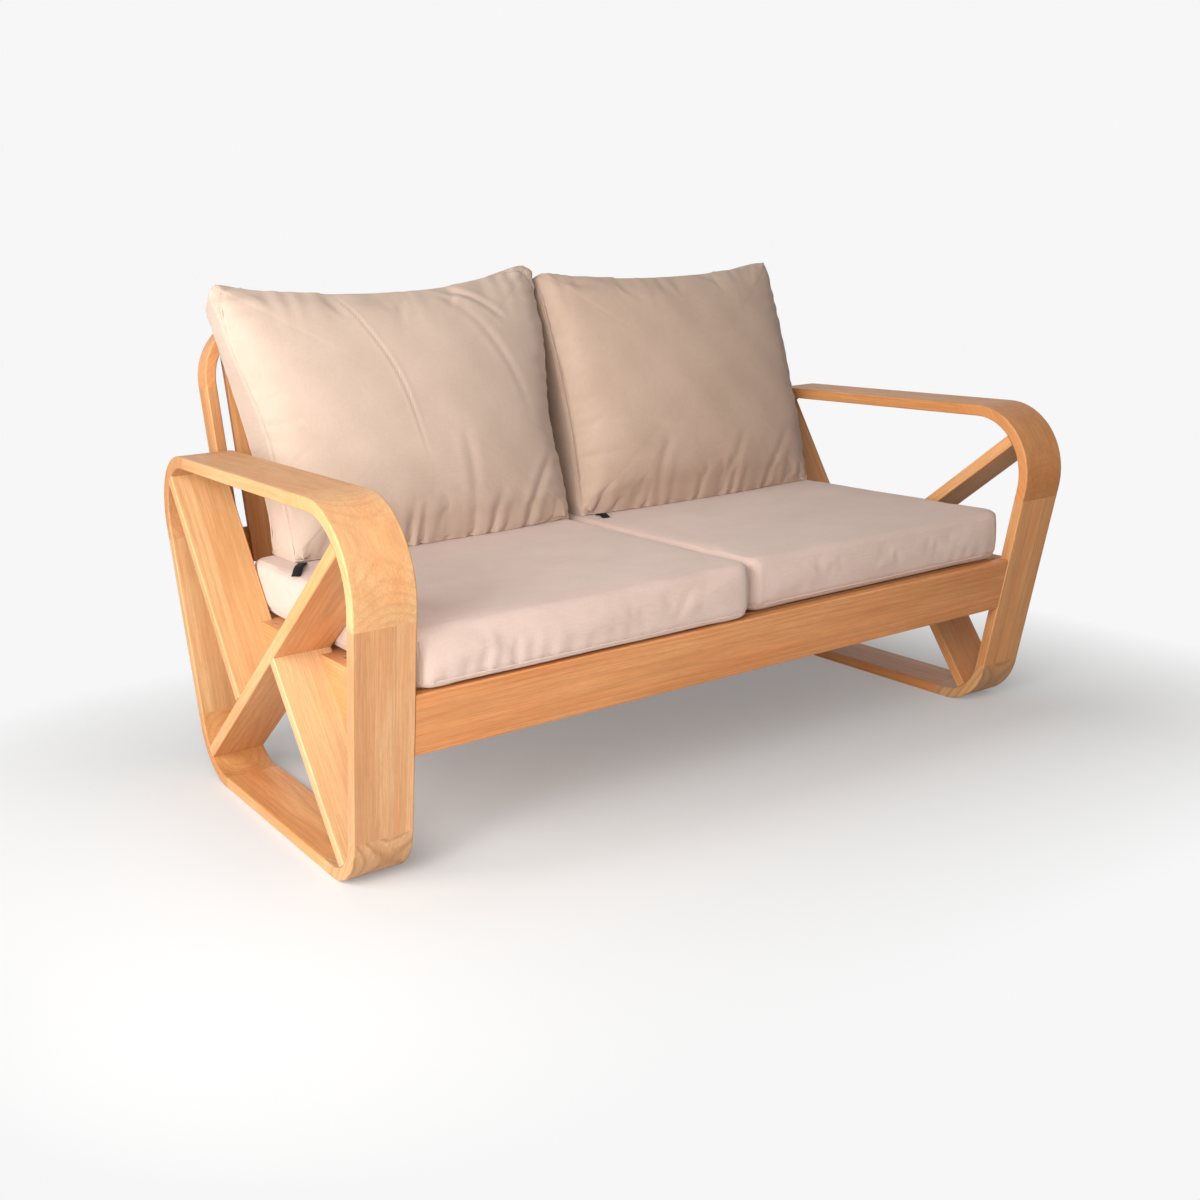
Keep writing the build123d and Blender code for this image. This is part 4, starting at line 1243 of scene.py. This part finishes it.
@dataclass
class FoldedTag:
    """A blank black strip, folded back on itself, sewn in at a back cushion's lower corner."""

    side: Side
    length: float
    turn: float
    width: float = 0.016
    gap: float = 0.0016
    wall: float = 0.0007
    steps: int = 14
    inset: float = 0.004
    rise: float = 0.0018
    arch: float = 0.0045
    wave: float = 0.0002
    wave_rate: float = 300
    bend_reach: float = 0.0012
    least_height: float = 0.0004
    seed: int = 7

    def build(self) -> None:
        """Make the tag where its packed plate lies."""
        node = f"{self.side.word}_cushion_tag"
        low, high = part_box(node)
        root = Vector(((low.x + high.x) / 2, high.y - self.inset, low.z))
        shares = [i / self.steps for i in range(self.steps + 1)]
        arch = [self.rise + self.arch * math.sin(share * math.pi) ** 2 for share in shares]
        upper = [(share * self.length, z) for share, z in zip(shares, arch)]
        lower = [(x, z - self.gap - self.wave * math.sin(x * self.wave_rate)) for x, z in reversed(upper)]
        end, top = upper[-1]
        bend = [
            (end + self.bend_reach * math.sin(angle), top - self.gap / 2 + self.gap / 2 * math.cos(angle))
            for angle in (math.pi / 4, math.pi / 2, 3 * math.pi / 4)
        ]
        strip = bmesh.new()
        verts = [
            strip.verts.new((-self.width / 2, -x, max(z, self.least_height)))
            for x, z in upper + bend + lower
        ]
        edges = [strip.edges.new(pair) for pair in zip(verts[:-1], verts[1:])]
        made = bmesh.ops.extrude_edge_only(strip, edges=edges)
        moved = [item for item in made["geom"] if isinstance(item, bmesh.types.BMVert)]
        bmesh.ops.translate(strip, verts=moved, vec=(self.width, 0, 0))
        bmesh.ops.recalc_face_normals(strip, faces=strip.faces)
        bmesh.ops.solidify(strip, geom=strip.faces[:], thickness=self.wall)
        bmesh.ops.rotate(strip, verts=strip.verts, cent=(0, 0, 0), matrix=Matrix.Rotation(self.turn, 3, "Z"))
        bmesh.ops.translate(strip, verts=strip.verts, vec=root)
        mesh = bpy.data.meshes.new(node)
        strip.to_mesh(mesh)
        strip.free()
        piece = link(mesh, f"{node}_folded", TAG_CANVAS.material(f"canvas_{node}", self.seed))
        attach(piece, f"{self.side.word}_back_pad")
        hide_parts(node)
        LOG.info("made %s", piece.name)


# Studio


@dataclass(frozen=True)
class Lamp:
    """A soft box: where it hangs, its width and height, its power and its colour."""

    name: str
    place: Point
    size: Spot
    watts: float
    colour: Colour = (1.0, 0.995, 0.985)

    def hang(self, target: Point) -> None:
        """Hang the lamp so that it points at a target."""
        data = bpy.data.lights.new(self.name, "AREA")
        data.shape = "RECTANGLE"
        data.size, data.size_y = self.size
        data.energy = self.watts
        data.color = self.colour
        light = bpy.data.objects.new(self.name, data)
        bpy.context.scene.collection.objects.link(light)
        light.location = self.place
        light.rotation_euler = (Vector(target) - Vector(self.place)).to_track_quat("-Z", "Y").to_euler()


@dataclass
class Studio:
    """The floor, the lamps and the camera."""

    camera_place: Point = (-1.49216, -2.18841, 0.95386)
    yaw: float = 0.585
    pitch: float = 0.310
    roll: float = -0.040
    focal: float = 1369.612
    middle: Spot = (607.344, 684.495)
    image: float = 1200.0
    sensor: float = 36.0
    view_end: float = 200.0
    floor_radius: float = 60.0
    floor_colour: Colour = (0.70, 0.695, 0.69)
    floor_roughness: float = 0.8
    floor_specular: float = 0.1
    paper: Colour = (0.93, 0.93, 0.93)
    half_plan: Point = (0.76, 0.45, 0.0)
    fade_end: float = 0.62
    # Share of glowing paper kept even beside the loveseat: painted light that lightens the floor's shadows
    least_fade: float = 0.22
    ambient: float = 0.19
    target: Point = (0.0, 0.0, 0.4)
    lamps: tuple[Lamp, ...] = (
        Lamp("left_box", (-2.4, -0.6, 1.0), (1.9, 1.8), 57.0),
        Lamp("front_box", (-2.0, -2.0, 1.6), (2.0, 2.0), 72.0),
        Lamp("top_box", (0.0, 0.0, 3.2), (3.0, 2.6), 12.0, (1.0, 1.0, 1.0)),
    )

    def build_floor(self) -> None:
        """Make the floor, which fades into the plain background away from the loveseat and glows a little
        even in its shadows, as painted light that lightens them.
        """
        ground = bmesh.new()
        bmesh.ops.create_circle(ground, cap_ends=True, radius=self.floor_radius, segments=96)
        mesh = bpy.data.meshes.new("floor")
        ground.to_mesh(mesh)
        ground.free()
        shader = Shader("floor_paper")
        outside = shader.vector("ABSOLUTE", shader.place())
        outside = shader.vector("SUBTRACT", outside, self.half_plan)
        outside = shader.vector("MAXIMUM", outside, (0.0, 0.0, 0.0))
        away = shader.vector("LENGTH", outside, out="Value")
        glow = shader.node("ShaderNodeEmission", {}, {"Color": self.paper, "Strength": 1.0})
        seen = shader.node("ShaderNodeLightPath", {}, {}, "Is Camera Ray")
        # At least this share of the glowing paper shows everywhere, also in the loveseat's shadows: painted
        # light
        share = shader.level(away, 0.0, self.fade_end, self.least_fade) * seen
        plain = Sock(shader, shader.surface.outputs["BSDF"])
        blend = shader.node("ShaderNodeMixShader", {}, {0: share, 1: plain, 2: glow})
        shader.tree.links.new(blend.socket, shader.output.inputs["Surface"])
        shader.finish(
            Base_Color=self.floor_colour,
            Roughness=self.floor_roughness,
            Specular_IOR_Level=self.floor_specular,
        )
        link(mesh, "floor", shader.material)

    def build_world(self) -> None:
        """Make the plain background, and the soft light that comes from all round."""
        world = bpy.data.worlds.new("plain_world")
        bpy.context.scene.world = world
        world.use_nodes = True
        nodes, links = world.node_tree.nodes, world.node_tree.links
        nodes.clear()
        output = nodes.new("ShaderNodeOutputWorld")
        blend = nodes.new("ShaderNodeMixShader")
        for i, (colour, strength) in enumerate((((1.0, 1.0, 1.0), self.ambient), (self.paper, 1.0))):
            light = nodes.new("ShaderNodeBackground")
            light.inputs["Color"].default_value = (*colour, 1.0)
            light.inputs["Strength"].default_value = strength
            links.new(light.outputs[0], blend.inputs[i + 1])
        path = nodes.new("ShaderNodeLightPath")
        either = nodes.new("ShaderNodeMath")
        either.operation = "MAXIMUM"
        links.new(path.outputs["Is Camera Ray"], either.inputs[0])
        links.new(path.outputs["Is Glossy Ray"], either.inputs[1])
        links.new(either.outputs[0], blend.inputs[0])
        links.new(blend.outputs[0], output.inputs["Surface"])

    def build_camera(self) -> None:
        """Set up the camera that the photo was taken with."""
        forward = Vector((
            math.sin(self.yaw) * math.cos(self.pitch),
            math.cos(self.yaw) * math.cos(self.pitch),
            -math.sin(self.pitch),
        ))
        right = Vector((math.cos(self.yaw), -math.sin(self.yaw), 0.0))
        up = right.cross(forward)
        tilted_right = right * math.cos(self.roll) + up * math.sin(self.roll)
        tilted_up = up * math.cos(self.roll) - right * math.sin(self.roll)
        data = bpy.data.cameras.new("camera")
        data.sensor_width = self.sensor
        data.lens = self.sensor * self.focal / self.image
        data.shift_x = (self.image / 2 - self.middle[0]) / self.image
        data.shift_y = (self.middle[1] - self.image / 2) / self.image
        data.clip_end = self.view_end
        camera = bpy.data.objects.new("camera", data)
        bpy.context.scene.collection.objects.link(camera)
        turn = Matrix((tilted_right, tilted_up, -forward)).transposed().to_4x4()
        camera.matrix_world = Matrix.Translation(self.camera_place) @ turn
        bpy.context.scene.camera = camera

    def build(self) -> None:
        """Make the whole studio."""
        self.build_floor()
        self.build_world()
        for lamp in self.lamps:
            lamp.hang(self.target)
        self.build_camera()
        bpy.context.scene.view_settings.view_transform = "Standard"
        LOG.info("made the studio")


# Folds and gathers of the back cushions, with places as shares of their half width and half height
LEFT_FOLDS = (
    Fold(((-0.40, 0.97), (-0.24, 0.62), (-0.10, 0.20), (-0.04, -0.40)), 0.0006, 0.0036),
    Fold(((0.20, 0.92), (0.48, 0.66), (0.66, 0.25), (0.74, -0.15)), 0.0009, 0.0075),
    Fold(((0.30, 0.93), (0.54, 0.78), (0.70, 0.60)), 0.0020, 0.0060),
    Fold(((0.14, 0.97), (0.34, 0.86), (0.52, 0.80)), 0.0015, 0.0050),
    Fold(((0.62, -0.98), (0.70, -0.70), (0.86, -0.45)), 0.0020, 0.0085),
    Fold(((0.20, -0.98), (0.25, -0.60), (0.22, -0.20)), 0.0012, 0.0100),
    Fold(((-0.97, 0.02), (-0.88, -0.04), (-0.74, -0.02)), 0.0016, 0.0060),
    Fold(((-0.97, 0.20), (-0.90, 0.17), (-0.80, 0.18)), 0.0012, 0.0050),
)
LEFT_GATHERS = (
    Gather(-0.84, 0.3, 0.5), Gather(-0.60, -0.1, 0.4), Gather(-0.36, 0.1, 0.4), Gather(-0.21, 0.2, 1.3),
    Gather(-0.12, 0.1, 1.0), Gather(0.06, 0.0, 0.5), Gather(0.21, 0.3, 0.8), Gather(0.34, 0.4, 1.1),
    Gather(0.43, 0.5, 0.6), Gather(0.60, 0.4, 0.7), Gather(0.78, 0.6, 0.6),
)
RIGHT_FOLDS = (
    Fold(((-0.98, -0.55), (-0.70, -0.52), (-0.45, -0.62)), 0.0016, 0.0080),
    Fold(((-0.98, -0.30), (-0.78, -0.26), (-0.60, -0.30)), 0.0012, 0.0070),
    Fold(((-0.98, 0.30), (-0.80, 0.33), (-0.66, 0.30)), 0.0010, 0.0070),
    Fold(((-0.40, -0.98), (-0.42, -0.70), (-0.30, -0.45)), 0.0014, 0.0100),
    Fold(((0.10, -0.98), (0.22, -0.70), (0.30, -0.50)), 0.0014, 0.0095),
    Fold(((0.55, -0.98), (0.60, -0.72), (0.74, -0.52)), 0.0013, 0.0095),
    Fold(((0.20, 0.97), (0.34, 0.84), (0.50, 0.80)), 0.0012, 0.0070),
    Fold(((-0.90, 0.95), (-0.70, 0.84), (-0.52, 0.84)), 0.0014, 0.0075),
)
RIGHT_GATHERS = (
    Gather(-0.93, 0.8, 1.0), Gather(-0.78, 0.6, 0.6), Gather(-0.52, 0.3, 0.7), Gather(-0.33, 0.3, 0.5),
    Gather(-0.10, 0.4, 0.9), Gather(0.08, 0.3, 0.5), Gather(0.20, 0.2, 1.0), Gather(0.31, 0.1, 0.6),
    Gather(0.52, 0.2, 0.8), Gather(0.72, 0.1, 0.6), Gather(0.90, -0.3, 0.8),
)


def main() -> None:
    """Dress the loveseat and set up the studio."""
    logging.basicConfig(level=logging.INFO, format="%(name)s: %(message)s")
    WoodenFrame().dress()
    SeatPad(side=Side.LEFT, seed=1).build()
    SeatPad(side=Side.RIGHT, seed=2).build()
    BackPad(
        side=Side.LEFT, seed=3, folds=LEFT_FOLDS, gathers=LEFT_GATHERS,
        ears=(0.015, 0.027), spread=(-0.009, 0.024), tuck=0.024, front_corner=0.024,
    ).build()
    BackPad(
        side=Side.RIGHT, seed=4, folds=RIGHT_FOLDS, gathers=RIGHT_GATHERS,
        # The right back cushion takes the darker canvas, which is painted shade
        canvas=SHADED_RIGHT_BACK_CANVAS, ears=(0.009, 0.005),
    ).build()
    FoldedTag(side=Side.LEFT, length=0.105, turn=-0.50).build()
    FoldedTag(side=Side.RIGHT, length=0.040, turn=-0.2).build()
    Studio().build()


if __name__ == "__main__":
    main()
